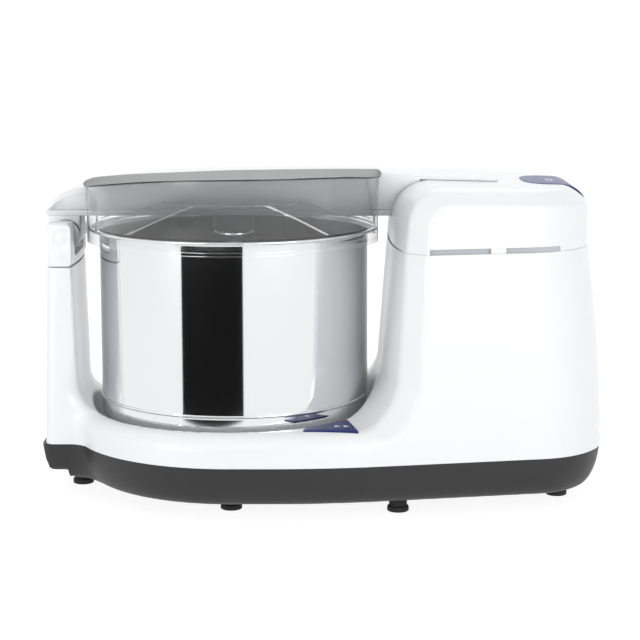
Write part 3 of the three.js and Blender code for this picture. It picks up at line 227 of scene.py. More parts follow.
def grain_bump(tree, grain, depth, strength, vector=None):
    """A fine relief of about grain metres, depth metres high."""
    vector = vector or place_of(tree)
    noise = add(tree, "ShaderNodeTexNoise", {"Vector": vector, "Scale": 1 / grain, "Detail": 2.0})
    bump = {"Height": noise.outputs["Fac"], "Distance": depth, "Strength": strength}
    return add(tree, "ShaderNodeBump", bump).outputs["Normal"]


def spread_roughness(tree, low, high, grain, vector=None):
    """A roughness between low and high, in patches of about grain metres."""
    vector = vector or place_of(tree)
    noise = add(tree, "ShaderNodeTexNoise", {"Vector": vector, "Scale": 1 / grain, "Detail": 4.0})
    values = {"Value": noise.outputs["Fac"], "To Min": low, "To Max": high}
    return add(tree, "ShaderNodeMapRange", values).outputs["Result"]


def grained(tree, base, patches, gloss, relief, stretch=(1, 1, 1)):
    """What most finishes are made of: patches (size, spread) of colour, gloss (low, high, size) and relief (size,
    depth, strength). stretch draws the gloss and the relief out into lines."""
    vector = place_of(tree, stretch)
    return {
        "Base Color": mottle(tree, base, *patches),
        "Roughness": spread_roughness(tree, *gloss, vector),
        "Normal": grain_bump(tree, *relief, vector),
    }


def grained_finish(name, base, patches, gloss, relief, stretch=(1, 1, 1), **shader):
    """A material with nothing more than that on its shader."""
    return finish_named(name, lambda tree: grained(tree, base, patches, gloss, relief, stretch), **shader)


def moulded_abs(name, base, gloss, texture, face=None, shine=0.5):
    """Injection-moulded ABS: even colour, faint orange peel in the gloss, a few soft patches from handling. The colour
    face shows where the attribute of that name is 1."""

    def build(tree):
        made = grained(tree, base, (0.06, 0.015), (gloss, gloss + 0.07, 0.03), (texture, texture * 0.02, 0.25))
        if face:
            share = add(tree, "ShaderNodeAttribute", attribute_name="face").outputs["Fac"]
            mixed = {0: share, 6: made["Base Color"], 7: face}
            made["Base Color"] = add(tree, "ShaderNodeMix", mixed, data_type="RGBA").outputs[2]
        return made

    return finish_named(name, build, IOR=1.54, **{"Specular IOR Level": shine})


def spark_eroded_abs(name, base):
    """Dark ABS from a spark-eroded mould: an even matt grain of about 0.7 mm, drawn at 1.2 mm so that it shows."""
    return grained_finish(name, base, (0.0012, 0.12), (0.42, 0.55, 0.02), (0.0012, 0.00008, 0.5), IOR=1.54)


def polished_stainless(name, base):
    """Deep-drawn stainless steel, mirror polished: hairlines run round it and break the reflection a little."""
    gloss, relief = (0.035, 0.085, 0.02), (0.05, 0.00001, 0.08)
    return grained_finish(name, base, (0.05, 0.03), gloss, relief, (1, 1, 60), Metallic=1.0)


def turned_steel(name, base):
    """Turned and ground steel: fine rings round the piece."""
    gloss, relief = (0.2, 0.34, 0.01), (0.01, 0.00002, 0.15)
    return grained_finish(name, base, (0.01, 0.08), gloss, relief, (1, 1, 30), Metallic=1.0)


def cast_metal(name, base, low):
    """Sand or die cast metal: a fine skin of 1 to 2 mm grain."""
    gloss, relief = (low, low + 0.15, 0.006), (0.0016, 0.00012, 0.5)
    return grained_finish(name, base, (0.004, 0.2), gloss, relief, Metallic=1.0)


def ground_granite(name, base):
    """Ground granite: light feldspar and dark mica grains of 1 to 3 mm, with a sawn matt face."""

    def build(tree):
        grains = add(tree, "ShaderNodeTexVoronoi", {"Vector": place_of(tree), "Scale": 1 / 0.0028})
        ramp = add(tree, "ShaderNodeValToRGB", {"Fac": grains.outputs["Color"]})
        elements = ramp.color_ramp.elements
        mica, feldspar = elements
        mica.position, mica.color = 0.25, (*[v * 0.35 for v in base], 1)
        feldspar.position, feldspar.color = 0.9, (*[min(1, v * 3.2) for v in base], 1)
        elements.new(0.6).color = (*base, 1)
        return {
            "Base Color": ramp.outputs["Color"],
            "Roughness": spread_roughness(tree, 0.5, 0.75, 0.003),
            "Normal": grain_bump(tree, 0.0015, 0.00015, 0.5),
        }

    return finish_named(name, build, IOR=1.55)


def moulded_rubber(name, base):
    """Nitrile rubber: dull, with a dusty bloom in patches."""
    return grained_finish(name, base, (0.008, 0.35), (0.7, 0.9, 0.01), (0.001, 0.00006, 0.4), IOR=1.52)


def smoked_styrene(name, tint, plate):
    """Smoked clear polystyrene: colourless low on the lid and tinted above, with a frosted plate. The attribute frost
    is 1 on the plate, and edge is 1 on its cut edge, which gets a painted dark line: painted shade in place of the
    darkening that refraction gives there."""

    def build(tree):
        height = add(tree, "ShaderNodeSeparateXYZ", {"Vector": place_of(tree)}).outputs["Z"]
        span = {"Value": height, "From Min": DRUM_HIGH.z, "From Max": ARM_LOW.z + 0.008}
        share = add(tree, "ShaderNodeMapRange", span, interpolation_type="SMOOTHSTEP").outputs["Result"]
        frost = add(tree, "ShaderNodeAttribute", attribute_name="frost").outputs["Fac"]
        edge = add(tree, "ShaderNodeAttribute", attribute_name="edge").outputs["Fac"]
        colour = (0.97, 0.97, 0.97)
        # The edge layer is painted shade: the cut edge is painted dark, at 0.12 of the plate's colour, in place of
        # refraction's darkening.
        layers = [(share, tint), (frost, mottle(tree, plate, 0.08, 0.04)), (edge, [v * 0.12 for v in plate])]
        for cover, shade in layers:
            colour = add(tree, "ShaderNodeMix", {0: cover, 6: colour, 7: shade}, data_type="RGBA").outputs[2]
        rough = {0: frost, 2: spread_roughness(tree, 0.01, 0.04, 0.05), 3: 0.45}
        return {
            "Base Color": colour,
            "Roughness": add(tree, "ShaderNodeMix", rough).outputs[0],
            "Transmission Weight": add(tree, "ShaderNodeMix", {0: frost, 2: 1.0, 3: 0.45}).outputs[0],
            "Normal": grain_bump(tree, 0.05, 0.00003, 0.1),
        }

    return finish_named(name, build, IOR=1.49, **{"Specular IOR Level": 0.12})


def wound_copper(name, base):
    """Varnished copper wire of 0.8 mm wound round the core, drawn at 1.6 mm so that the turns show."""

    def build(tree):
        wave = add(tree, "ShaderNodeTexWave", {"Vector": place_of(tree), "Scale": 1 / 0.0032}, bands_direction="Z")
        bump = {"Height": wave.outputs["Fac"], "Distance": 0.0006, "Strength": 0.8}
        return {
            "Base Color": mottle(tree, base, 0.003, 0.4),
            "Roughness": spread_roughness(tree, 0.25, 0.4, 0.004),
            "Normal": add(tree, "ShaderNodeBump", bump).outputs["Normal"],
        }

    return finish_named(name, build, Metallic=1.0)


def circuit_board(name, base):
    """Glass-fibre board with green solder resist over 2 mm copper tracks."""

    def build(tree):
        tracks = add(tree, "ShaderNodeTexBrick", {"Vector": place_of(tree), "Scale": 1 / 0.012})
        bump = {"Height": tracks.outputs["Fac"], "Distance": 0.0001, "Strength": 0.6}
        return {
            "Base Color": mottle(tree, base, 0.004, 0.4),
            "Roughness": spread_roughness(tree, 0.3, 0.45, 0.01),
            "Normal": add(tree, "ShaderNodeBump", bump).outputs["Normal"],
        }

    return finish_named(name, build, IOR=1.5)


def finishes():
    """Every material, by the record's slot."""
    c = colours()
    return {
        "white_plastic": moulded_abs("white_gloss_abs", c.white, 0.22, 0.0016),
        "shade_plastic": moulded_abs("grey_trim_abs", c.shade, 0.4, 0.0012),
        "dark_plastic": spark_eroded_abs("dark_grained_abs", c.base),
        "rubber": moulded_rubber("nitrile_rubber", c.rubber),
        "stainless": polished_stainless("mirror_stainless", c.steel),
        "steel": turned_steel("turned_steel", linear("#B9BBBD")),
        "iron": cast_metal("cast_iron", linear("#5A5B5D"), 0.5),
        "alloy": cast_metal("die_cast_aluminium", linear("#B4B6B8"), 0.35),
        "grey_plastic": moulded_abs("grey_abs", c.grey, 0.35, 0.0012),
        "smoked_clear": smoked_styrene("smoked_polystyrene", c.smoke, c.plate),
        "granite": ground_granite("ground_granite", c.granite),
        "blue_plastic": moulded_abs("navy_abs", c.navy, 0.3, 0.0012, c.pad, 0.25),
        "copper": wound_copper("varnished_copper", linear("#B0693A")),
        "board": circuit_board("circuit_board", linear("#2F6B45")),
    }


# Meshes


def mesh_object(name, points, faces, uneven=()):
    """An object at the origin from an array of points and arrays of faces."""
    mesh = bpy.data.meshes.new(name)
    rows = [list(map(int, face)) for face in uneven]
    mesh.from_pydata(np.asarray(points).tolist(), [], np.asarray(faces).tolist() + rows)
    mesh.validate()
    obj = bpy.data.objects.new(name, mesh)
    bpy.context.scene.collection.objects.link(obj)
    return obj


def grid_faces(rows, columns, loop_rows=False, loop_columns=False):
    """Quads between neighbours of a grid of rows by columns, closed along either way if asked."""
    across = np.arange(columns if loop_columns else columns - 1)
    down = np.arange(rows if loop_rows else rows - 1)
    i, j = np.meshgrid(down, across, indexing="ij")
    below = (i + 1) % rows
    right = (j + 1) % columns
    quads = [i * columns + j, i * columns + right, below * columns + right, below * columns + j]
    return np.stack(quads, -1).reshape(-1, 4)


def end_faces(rows, columns):
    """The two faces that close a grid whose columns are joined: one over its first row and one over its last."""
    return [np.arange(columns)[::-1], np.arange(columns) + (rows - 1) * columns]


def edited(obj, work):
    """Runs work(bm) on the object's mesh."""
    bm = bmesh.new()
    bm.from_mesh(obj.data)
    work(bm)
    bm.to_mesh(obj.data)
    bm.free()
    return obj


def welded(obj):
    """Merges doubled points and turns all faces outwards."""

    def work(bm):
        bmesh.ops.remove_doubles(bm, verts=bm.verts, dist=WELD)
        bmesh.ops.dissolve_degenerate(bm, edges=bm.edges, dist=WELD / 2)
        bmesh.ops.recalc_face_normals(bm, faces=bm.faces)

    return edited(obj, work)


def modified(obj, kind, **settings):
    """Applies one modifier for good."""
    modifier = obj.modifiers.new(kind.lower(), kind)
    for key, value in settings.items():
        setattr(modifier, key, value)
    graph = bpy.context.evaluated_depsgraph_get()
    made = bpy.data.meshes.new_from_object(obj.evaluated_get(graph))
    obj.modifiers.clear()
    old = obj.data
    obj.data = made
    bpy.data.meshes.remove(old)
    return obj


def smoothed(obj, angle):
    """Shades smooth, with edges sharper than angle kept crisp."""
    obj.data.shade_smooth()
    obj.data.set_sharp_from_angle(angle=math.radians(angle))
    return obj


def dressed(obj, slot, body, *nodes):
    """Gives a piece its finish and its body, and hides the frame's nodes that it stands for."""
    obj.data.materials.clear()
    obj.data.materials.append(finishes()[slot])
    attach(obj, body)
    if nodes:
        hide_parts(*nodes)
    return obj


def turned(name, section, steps, centre=None):
    """A section of (radius, height) turned about an upright axis: x = r cos a, y = r sin a. It may be closed on itself
    or end on the axis."""
    angle = np.arange(steps) * 2 * math.pi / steps
    r, z = section[:, 0, None], section[:, 1, None]
    x0, y0 = (AXIS_X, 0) if centre is None else centre
    points = np.stack([x0 + r * np.cos(angle), y0 + r * np.sin(angle), z + 0 * angle], -1)
    closed = bool(np.all(section[0] == section[-1]))
    rows = len(section) - closed
    faces = grid_faces(rows, steps, loop_rows=closed, loop_columns=True)
    return welded(mesh_object(name, points[:rows].reshape(-1, 3), faces))


def arc(x, y, radius, start, end, steps):
    """Points on an arc, in degrees, both ends included."""
    a = np.radians(np.linspace(start, end, steps + 1))
    return np.stack([x + radius * np.cos(a), y + radius * np.sin(a)], -1)


def profile(*parts):
    """Points and rows of points as one outline."""
    return np.concatenate([np.atleast_2d(np.asarray(p, float)) for p in parts])


def rounded(corners, radius, steps):
    """A closed outline whose corners are rounded: each becomes the arc of that radius that touches both its sides."""
    corners = np.asarray(corners, float)
    rows = []
    for i, corner in enumerate(corners):
        one = corners[i - 1] - corner
        two = corners[(i + 1) % len(corners)] - corner
        one, two = one / np.linalg.norm(one), two / np.linalg.norm(two)
        half = math.acos(np.clip(one @ two, -1, 1)) / 2
        centre = corner + (one + two) / np.linalg.norm(one + two) * radius / math.sin(half)
        start = corner + one * radius / math.tan(half) - centre
        end = corner + two * radius / math.tan(half) - centre
        turn = math.atan2(start[0] * end[1] - start[1] * end[0], start @ end)
        angle = math.atan2(start[1], start[0]) + np.linspace(0, turn, steps + 1)
        rows.append(centre + radius * np.stack([np.cos(angle), np.sin(angle)], -1))
    return np.concatenate(rows)


def smooth_curve(x, knots):
    """A smooth curve through knots (x, z): cubic between neighbours, with the slope at a knot that keeps it from
    overshooting (the harmonic mean of the two sides)."""
    kx, kz = np.asarray(knots, float).T
    step = np.diff(kx)
    slope = np.diff(kz) / step
    both = slope[1:] * slope[:-1]
    inner = np.where(both > 0, 2 * both / (slope[1:] + slope[:-1] + 1e-12), 0)
    tangent = np.concatenate([slope[:1], inner, slope[-1:]])
    x = np.clip(x, kx[0], kx[-1])
    i = np.clip(np.searchsorted(kx, x) - 1, 0, len(step) - 1)
    t = (x - kx[i]) / step[i]
    a, b = tangent[i] * step[i], tangent[i + 1] * step[i]
    return (
        (2 * t**3 - 3 * t**2 + 1) * kz[i]
        + (t**3 - 2 * t**2 + t) * a
        + (3 * t**2 - 2 * t**3) * kz[i + 1]
        + (t**3 - t**2) * b
    )


def ramp(value, start, end):
    """0 up to start, 1 from end on, and even between them."""
    return np.clip((value - start) / (end - start), 0, 1)


# Shells that blend several forms: each is where a field is negative, and the field is near the distance to its surface


def round_max(a, b, radius):
    """Where both are negative, with the edge between them rounded."""
    both = np.hypot(np.maximum(radius + a, 0), np.maximum(radius + b, 0))
    return np.minimum(-radius, np.maximum(a, b)) + both


def round_min(a, b, radius):
    """Where either is negative, with the hollow between them rounded."""
    return -round_max(-a, -b, radius)


def soft_max(a, b, width):
    """The larger of two, blended where they differ by less than width."""
    near = np.maximum(width - np.abs(a - b), 0)
    return np.maximum(a, b) + near**2 / (4 * width)


def skin(name, field, low, high, step):
    """The surface where field(x, y, z) is zero, as quads. Each lattice cell that the surface passes through gets one
    point, the mean of where its edges cross the surface, moved along the field's slope until it lies on it."""
    axes = [np.arange(a, b + step, step) for a, b in zip(low, high)]
    corner = np.stack(np.meshgrid(*axes, indexing="ij"), -1)
    value = np.full(corner.shape[:3], step)
    core = (slice(1, -1),) * 3
    value[core] = field(*np.moveaxis(corner[core], -1, 0))
    inside = value < 0
    total, count = np.zeros(corner.shape), np.zeros(value.shape)
    quads = []
    for axis in range(3):
        first = tuple(slice(0, -1) if k == axis else slice(None) for k in range(3))
        second = tuple(slice(1, None) if k == axis else slice(None) for k in range(3))
        crossed = inside[first] != inside[second]
        where = np.argwhere(crossed)
        one, two = value[first][crossed], value[second][crossed]
        point = corner[first][crossed]
        point[:, axis] += step * one / (one - two)
        others = [(axis + 1) % 3, (axis + 2) % 3]
        around = []
        for du, dv in ((0, 0), (-1, 0), (-1, -1), (0, -1)):
            cell = where.copy()
            cell[:, others[0]] += du
            cell[:, others[1]] += dv
            np.add.at(total, tuple(cell.T), point)
            np.add.at(count, tuple(cell.T), 1)
            around.append(np.ravel_multi_index(tuple(cell.T), value.shape))
        quad = np.stack(around, -1)
        back = ~inside[first][crossed]
        quad[back] = quad[back][:, ::-1]
        quads.append(quad)
    used = count.ravel() > 0
    points = total.reshape(-1, 3)[used] / count.ravel()[used, None]
    reach = step * 0.02
    for _ in range(4):
        here = field(*points.T)
        slope = np.stack(
            [(field(*(points + reach * e).T) - field(*(points - reach * e).T)) / (2 * reach) for e in np.eye(3)], -1
        )
        here = np.where(np.abs(here) < 2 * step, here, 0)
        move = -slope * (here / np.maximum((slope**2).sum(1), 0.04))[:, None]
        far = np.maximum(np.linalg.norm(move, axis=1) / (step / 2), 1)
        points += move / far[:, None]
    points[:, 0] += AXIS_X
    number = np.cumsum(used) - 1
    return mesh_object(name, points, number[np.concatenate(quads)])


def cut(obj, place, normal, part=None):
    """Cuts the mesh along a plane and removes the side that normal points to, on the faces that part(centre) picks."""

    def work(bm):
        faces = [f for f in bm.faces if part is None or part(f.calc_center_median())]
        edges = {e for f in faces for e in f.edges}
        verts = {v for f in faces for v in f.verts}
        bmesh.ops.bisect_plane(
            bm, geom=[*verts, *edges, *faces], plane_co=place, plane_no=normal, dist=1e-6, clear_outer=True
        )

    return edited(obj, work)


def outline_field(x, y, z, ledge=0.0):
    """Distance to the housing's outline in plan. It is a circle about the drum, run out straight and then slanting to
    the right end, joined to a narrow pillar on the left, and it draws in as it rises. ledge moves the pillar's left
    face outwards."""
    s = sizes()
    y = np.abs(y)
    rise = np.minimum(z, COVER_LOW.z) - SEAM_Z
    above = np.maximum(rise, 0)
    right = REACH_RIGHT - END_DRAW * (above / (COVER_LOW.z - SEAM_Z)) ** END_BOW
    lean = SIDE_LEAN * rise
    core = np.where(x < 0, np.hypot(x, y), y) - (BULGE - lean)
    slanted = x * math.sin(FRONT_SLANT) + y * math.cos(FRONT_SLANT) - (s.tower_front - lean)
    core = soft_max(core, slanted, FRONT_BLEND)
    core = round_max(core, x - right, s.tower_corner)
    left = REACH_LEFT + ledge - PILLAR_LEAN * above
    pillar = round_max(-x - left, y - (s.pillar_half - PILLAR_LEAN * rise), s.pillar_corner)
    pillar = np.maximum(pillar, x)
    return round_min(core, pillar, PILLAR_BLEND)


def cover_top(x):
    """Height of the cover's flat top, which falls to the right."""
    s = sizes()
    run = (x - s.tower_inner) / (REACH_RIGHT - s.tower_inner)
    return COVER_HIGH.z - s.cover_fall * run


def tower_side(x, y, z):
    """How far a point lies from the tower's inner face towards the drum. The face leans away from the drum as it
    rises, and draws back with the cube of the distance towards its front and rear edges."""
    s = sizes()
    flare = TOWER_FLARE * np.abs(y / TOWER_EDGE) ** 3
    return s.tower_inner + flare + TOWER_LEAN * (z - COVER_LOW.z) - x


def pillar_side(x, y, z):
    """The same from the pillar's inner face, which leans less and draws back with the square of the distance."""
    s = sizes()
    flare = PILLAR_FLARE * (y / s.pillar_half) ** 2
    return s.pillar_inner + flare + PILLAR_INNER_LEAN * (z - HEAD_LOW.z) + x


def front_facet(outline, inner):
    """The flat facet between the tower's inner face and its front: a plane across the corner of the two fields, 21 mm
    wide on the first and 15 mm on the other."""
    return 0.595 * outline + 0.803 * inner + 0.0124


def trough_field(x, y, z):
    """Negative in the open space between pillar and tower, whose floor is the deck."""
    floor = sizes().deck_z - z
    left = round_max(-pillar_side(x, y, z), floor, PILLAR_FOOT)
    return np.maximum(left, round_max(-tower_side(x, y, z), floor, TOWER_FOOT))


def housing_field(x, y, z):
    """The outline with the trough and the well taken out of it. The trough's edge is sharper on pillar and tower than
    at the deck, and the tower's facet runs out beside the drum."""
    s = sizes()
    outline = outline_field(x, y, z)
    high = ramp(z, s.deck_z + 0.02, s.deck_z + 0.07)
    body = round_max(outline, -trough_field(x, y, z), s.soft_edge - 0.014 * high)
    beside = ramp(x, 0.16, 0.11)
    inner = -round_max(-tower_side(x, y, z), s.deck_z - z, TOWER_FOOT)
    facet = front_facet(outline, inner) - 0.03 * beside - (x < 0)
    body = round_max(body, facet, FACET_EDGE)
    well = round_max(np.hypot(x, y) - s.well_r, s.well_floor_z - z, 0.004)
    return round_max(body, -well, 0.003)


def cover_field(x, y, z):
    """The tower's outline carried on upwards and closed by a top that falls a little to the right, with a facet along
    its front and rear edges."""
    s = sizes()
    top = z - cover_top(x)
    inner = round_max(tower_side(x, y, z), top, s.cover_left)
    outline = outline_field(x, y, z)
    body = round_max(inner, x - (REACH_RIGHT - END_DRAW), s.cover_right)
    size = math.hypot(s.bevel_width, s.bevel_height)
    bevel = (outline * s.bevel_height + (top + s.bevel_height) * s.bevel_width) / size
    body = round_max(body, round_max(outline, bevel, 0.004), 0.003)
    return round_max(body, front_facet(outline, inner), FACET_EDGE)


def pan_field(x, y, z):
    """The outline drawn in more and more towards the floor, with the underside stepped up at the left end."""
    draw_in = [(0.017, 0.021), (0.022, 0.014), (0.032, 0.0075), (0.045, 0.003), (0.06, 0.0005)]
    side = outline_field(x, y, z, 0.0042) + smooth_curve(z, draw_in)
    edge = x + REACH_LEFT
    floor = PAN_FLOOR + 0.0035 * ramp(edge, 0.062, 0.047) + 0.009 * (edge < 0.0237)
    return round_max(side, floor - z, 0.003)


def head_field(x, y, z):
    """The pillar's head: two cheeks that leave room for the arm's lug, on a web. It is 2.5 mm slimmer on each side
    than the pillar, so that a small shoulder shows under it."""
    side = outline_field(x, np.abs(y) + 0.0025, z)
    body = round_max(side, z - HEAD_HIGH.z, 0.0025)
    body = round_max(body, HEAD_LOW.z - z, 0.0008)
    body = round_max(body, pillar_side(x, y, z), 0.004)
    slot = round_max(np.abs(y) - HEAD_SLOT_HALF, HEAD_LOW.z + 0.01 - z, 0.004)
    return round_max(body, -slot, 0.0015)


# Pieces


def block(name, low, high, radius=0.0):
    """A box with rounded upright edges: its plan outline carried from the low to the high level."""
    (x0, y0, z0), (x1, y1, z1) = low, high
    plan = [(x0, y0), (x1, y0), (x1, y1), (x0, y1)]
    return raised(name, rounded(plan, radius, 3) if radius else np.array(plan), z0, z1)


def raised(name, outline, low, high):
    """A closed outline in plan, about the drum's axis, carried from low to high and closed by a face at each end."""
    count = len(outline)
    x, y = outline[:, 0] + AXIS_X, outline[:, 1]
    points = np.concatenate([np.stack([x, y, np.full(count, z)], -1) for z in (low, high)])
    return welded(mesh_object(name, points, grid_faces(2, count, loop_columns=True), end_faces(2, count)))


def carved(obj, *tools):
    """Takes the tools' volumes out of the object and removes the tools."""
    for tool in tools:
        modified(obj, "BOOLEAN", operation="DIFFERENCE", solver="EXACT", object=tool)
        bpy.data.objects.remove(tool)
    return obj


def make_housing():
    """The housing's shell, cut level at its three seams, with its wall and the hole for the release key."""
    s = sizes()
    low = (-REACH_LEFT - MARGIN, -BULGE - MARGIN, SEAM_Z - MARGIN)
    high = (REACH_RIGHT + MARGIN, BULGE + MARGIN, HOUSING_HIGH.z + MARGIN)
    shell = skin("housing_shell", housing_field, low, high, s.shell_step)

    def pillar_top(centre):
        return centre.x < AXIS_X - s.well_r and centre.z > HEAD_LOW.z - 0.02

    cut(shell, (0, 0, SEAM_Z), (0, 0, -1))
    cut(shell, (0, 0, HOUSING_HIGH.z), (0, 0, 1))
    cut(shell, (0, 0, HEAD_LOW.z - SEAM_GAP), (0, 0, 1), pillar_top)
    modified(shell, "SOLIDIFY", thickness=s.wall, offset=-1.0)
    key_low, key_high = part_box("drum_release_key")
    carved(shell, key_shape("key_hole", 0.0005, key_low.z - 0.003, key_high.z + 0.02))
    dressed(smoothed(shell, 40), "white_plastic", "housing", "main_housing")


def make_base():
    """The pan's shell, cut level under the housing, with its wall."""
    s = sizes()
    low = (-REACH_LEFT - 0.016, -BULGE - MARGIN, PAN_LOW.z - MARGIN)
    high = (REACH_RIGHT + MARGIN, BULGE + MARGIN, SEAM_Z + MARGIN)
    shell = skin("base_shell", pan_field, low, high, s.shell_step)
    cut(shell, (0, 0, SEAM_Z - SEAM_GAP), (0, 0, 1))
    modified(shell, "SOLIDIFY", thickness=s.wall, offset=-1.0)
    dressed(smoothed(shell, 40), "dark_plastic", "housing", "base_pan")


def make_cover():
    """The cover's shell, open below, with the arm's channel, two slots and the seam's gap taken out. The gap is
    half a millimetre at the front, widens to 4.5 mm beside the drum and closes at the rear."""
    s = sizes()
    low = (s.tower_inner - 0.02, -BULGE, COVER_LOW.z - 0.01)
    high = (REACH_RIGHT, BULGE, COVER_HIGH.z + 0.01)
    shell = skin("cover_shell", cover_field, low, high, s.fine_step)
    cut(shell, (0, 0, COVER_LOW.z), (0, 0, -1))
    modified(shell, "SOLIDIFY", thickness=s.wall, offset=-1.0)
    channel = block("channel", (0.1, -CHANNEL_HALF, CHANNEL_FLOOR), (CHANNEL_END, CHANNEL_HALF, 0.36))
    slots = [
        block(f"slot_{x}", (x, -BULGE, COVER_LOW.z - 0.01), (x + run, -0.07, COVER_LOW.z + COVER_SLOT_HEIGHT))
        for x, run in COVER_SLOTS
    ]
    gap = [(-0.118, -0.001), (-0.118, 0.0005), (0.01, 0.0045), (0.07, 0.0045), (0.146, -0.001)]
    count = len(gap)
    ends = [s.tower_inner - 0.03, s.tower_inner + 0.03]
    places = [(AXIS_X + x, y, COVER_LOW.z + z) for x in ends for y, z in gap]
    faces = grid_faces(2, count, loop_columns=True)[:, ::-1]
    wedge = mesh_object("seam_gap", places, faces, [face[::-1] for face in end_faces(2, count)])
    carved(shell, channel, wedge, *slots)
    dressed(smoothed(shell, 35), "white_plastic", "housing", "tower_cover")


def make_channel():
    """The lining of the channel in which the arm's end lies: two side walls, a floor and an end wall. At each height it
    begins where the cover's rounded shoulder is met, which halving finds."""
    half, end, floor = CHANNEL_HALF, CHANNEL_END, CHANNEL_FLOOR
    z = np.linspace(floor, cover_top(end) - 0.0006, 40)
    low, high = np.full(len(z), 0.15), np.full(len(z), end)
    for _ in range(30):
        middle = (low + high) / 2
        outside = cover_field(middle, half, z) > 0
        low, high = np.where(outside, middle, low), np.where(outside, high, middle)
    start = high + 0.0004
    width = np.linspace(-half, half, 9)[1:-1]
    across = np.concatenate([np.full(len(z), -half), width, np.full(len(z), half)])
    level = np.concatenate([z[::-1], np.full(len(width), floor), z])
    begin = np.concatenate([start[::-1], np.full(len(width), start[0]), start])
    rows = [np.stack([AXIS_X + begin + (end - begin) * t, across, level], -1) for t in np.linspace(0, 1, 12)]
    lining = mesh_object("cover_channel", np.concatenate(rows), grid_faces(len(rows), len(across))[:, ::-1])
    wall = [(AXIS_X + end, y, h) for y, h in ((-half, floor), (half, floor), (half, z[-1]), (-half, z[-1]))]
    back = mesh_object("cover_channel_end", wall, [(0, 3, 2, 1)])
    for piece in (lining, back):
        modified(piece, "SOLIDIFY", thickness=0.001, offset=-1.0)
        dressed(smoothed(piece, 40), "white_plastic", "housing")


def make_head():
    """The head's field as a closed form."""
    s = sizes()
    low = (-REACH_LEFT - 0.006, -0.07, HEAD_LOW.z - 0.006)
    high = (-s.pillar_inner + 0.01, 0.07, HEAD_HIGH.z + 0.006)
    shell = skin("pillar_head_shell", head_field, low, high, 0.0016)
    dressed(smoothed(shell, 50), "white_plastic", "housing", "pillar_head")


# Height of the arm's top along it
ARM_KNOTS = [
    (-0.1988, 0.3112),
    (-0.1962, 0.3152),
    (-0.1915, 0.3222),
    (-0.1855, 0.3266),
    (-0.179, 0.3297),
    (-0.1707, 0.3325),
    (-0.1625, 0.3345),
    (-0.14, 0.341),
    (-0.11, 0.3465),
    (-0.06, 0.35),
    (0.0, 0.3518),
    (0.0987, 0.3527),
    (0.15, 0.3524),
    (0.178, 0.35),
    (0.2025, 0.3479),
    (0.2687, 0.3448),
    (0.2806, 0.3442),
    (0.2848, 0.3434),
    (0.2864, 0.3424),
]


def arm_half(x):
    """Half width of the arm: even, with the corners of its right end rounded in plan."""
    corner, stop = 0.01, ARM_KNOTS[-1][0]
    return ARM_HALF - corner * (1 - np.sqrt(1 - ramp(x, stop - corner, stop) ** 2))


def arm_low_half(z):
    """Half width of the arm at a height where its sides draw in."""
    return ARM_HALF - ARM_DRAW * (ARM_WIDE_Z - z)


def make_arm():
    """Sections across the arm, from left to right: upright sides that draw in below, and a softly rounded top edge.
    The sections lie closer at both ends. Beyond the channel the arm is a tongue that lies on the cover."""
    start, stop = ARM_KNOTS[0][0], ARM_KNOTS[-1][0]
    t = np.linspace(0, 1, 150)
    x = start + (stop - start) * (t - np.sin(2 * math.pi * t) / (2 * math.pi) * 0.85)
    top = smooth_curve(x, ARM_KNOTS)
    bottom = np.where(x > CHANNEL_END - 0.0025, cover_top(x) + 0.0003, ARM_PART_Z)
    half = arm_half(x)
    height = top - bottom
    edge = np.minimum(0.0045, height * 0.45)
    draw = ARM_DRAW * np.maximum(ARM_WIDE_Z - bottom, 0)
    low_half = half - draw * (half / ARM_HALF)
    corner = np.radians(np.linspace(0, 90, 7))
    side = [(low_half - 0.001, bottom), (low_half, bottom + 0.001)]
    side.append((half, np.maximum(np.minimum(top - edge, ARM_WIDE_Z), bottom + height * 0.3)))
    side += [(half - edge * (1 - math.cos(a)), top - edge * (1 - math.sin(a))) for a in corner]
    side.append((half * 0.5, top + 0.0003))
    y, z = (np.stack(rows, -1) for rows in zip(*side))
    y = np.concatenate([y, -y[:, ::-1]], 1)
    z = np.concatenate([z, z[:, ::-1]], 1)
    count = y.shape[1]
    points = np.stack([np.repeat(x[:, None] + AXIS_X, count, 1), y, z], -1).reshape(-1, 3)
    faces = grid_faces(len(x), count, loop_columns=True)
    ends = [face[::-1] for face in end_faces(len(x), count)]
    arm = mesh_object("arm_shell", points, faces, ends)
    dressed(smoothed(welded(arm), 40), "white_plastic", "arm", "arm_cover")


def make_tray():
    """Under the arm's parting line: level outlines whose half width and inset at the left end change with height. A
    heel under its left end stands between the cheeks of the pillar's head."""
    heel = block("arm_heel", (-0.2005, -0.022, 0.288), (-0.166, 0.022, TRAY_LOW.z + 0.0004), 0.002)
    dressed(smoothed(heel, 40), "white_plastic", "arm")
    low_half, high_half = arm_low_half(TRAY_LOW.z), arm_low_half(ARM_PART_Z)
    left, right = AXIS_X - 0.2025, TRAY_HIGH.x
    levels = [(low_half - 0.0012, TRAY_LOW.z, 0.0012), (low_half, TRAY_LOW.z + 0.0012, 0.0)]
    levels += [(high_half, ARM_PART_Z - 0.001, 0.0), (high_half - 0.0006, ARM_PART_Z - 0.0005, 0.0006)]
    rings = []
    for half, z, inset in levels:
        plan = rounded([(left + inset, -half), (right, -half), (right, half), (left + inset, half)], 0.002, 4)
        rings.append(np.concatenate([plan, np.full((len(plan), 1), z)], 1))
    count = len(plan)
    faces = grid_faces(len(rings), count, loop_columns=True)
    tray = mesh_object("tray_shell", np.concatenate(rings), faces, end_faces(len(rings), count))
    dressed(smoothed(welded(tray), 40), "white_plastic", "arm", "arm_tray")


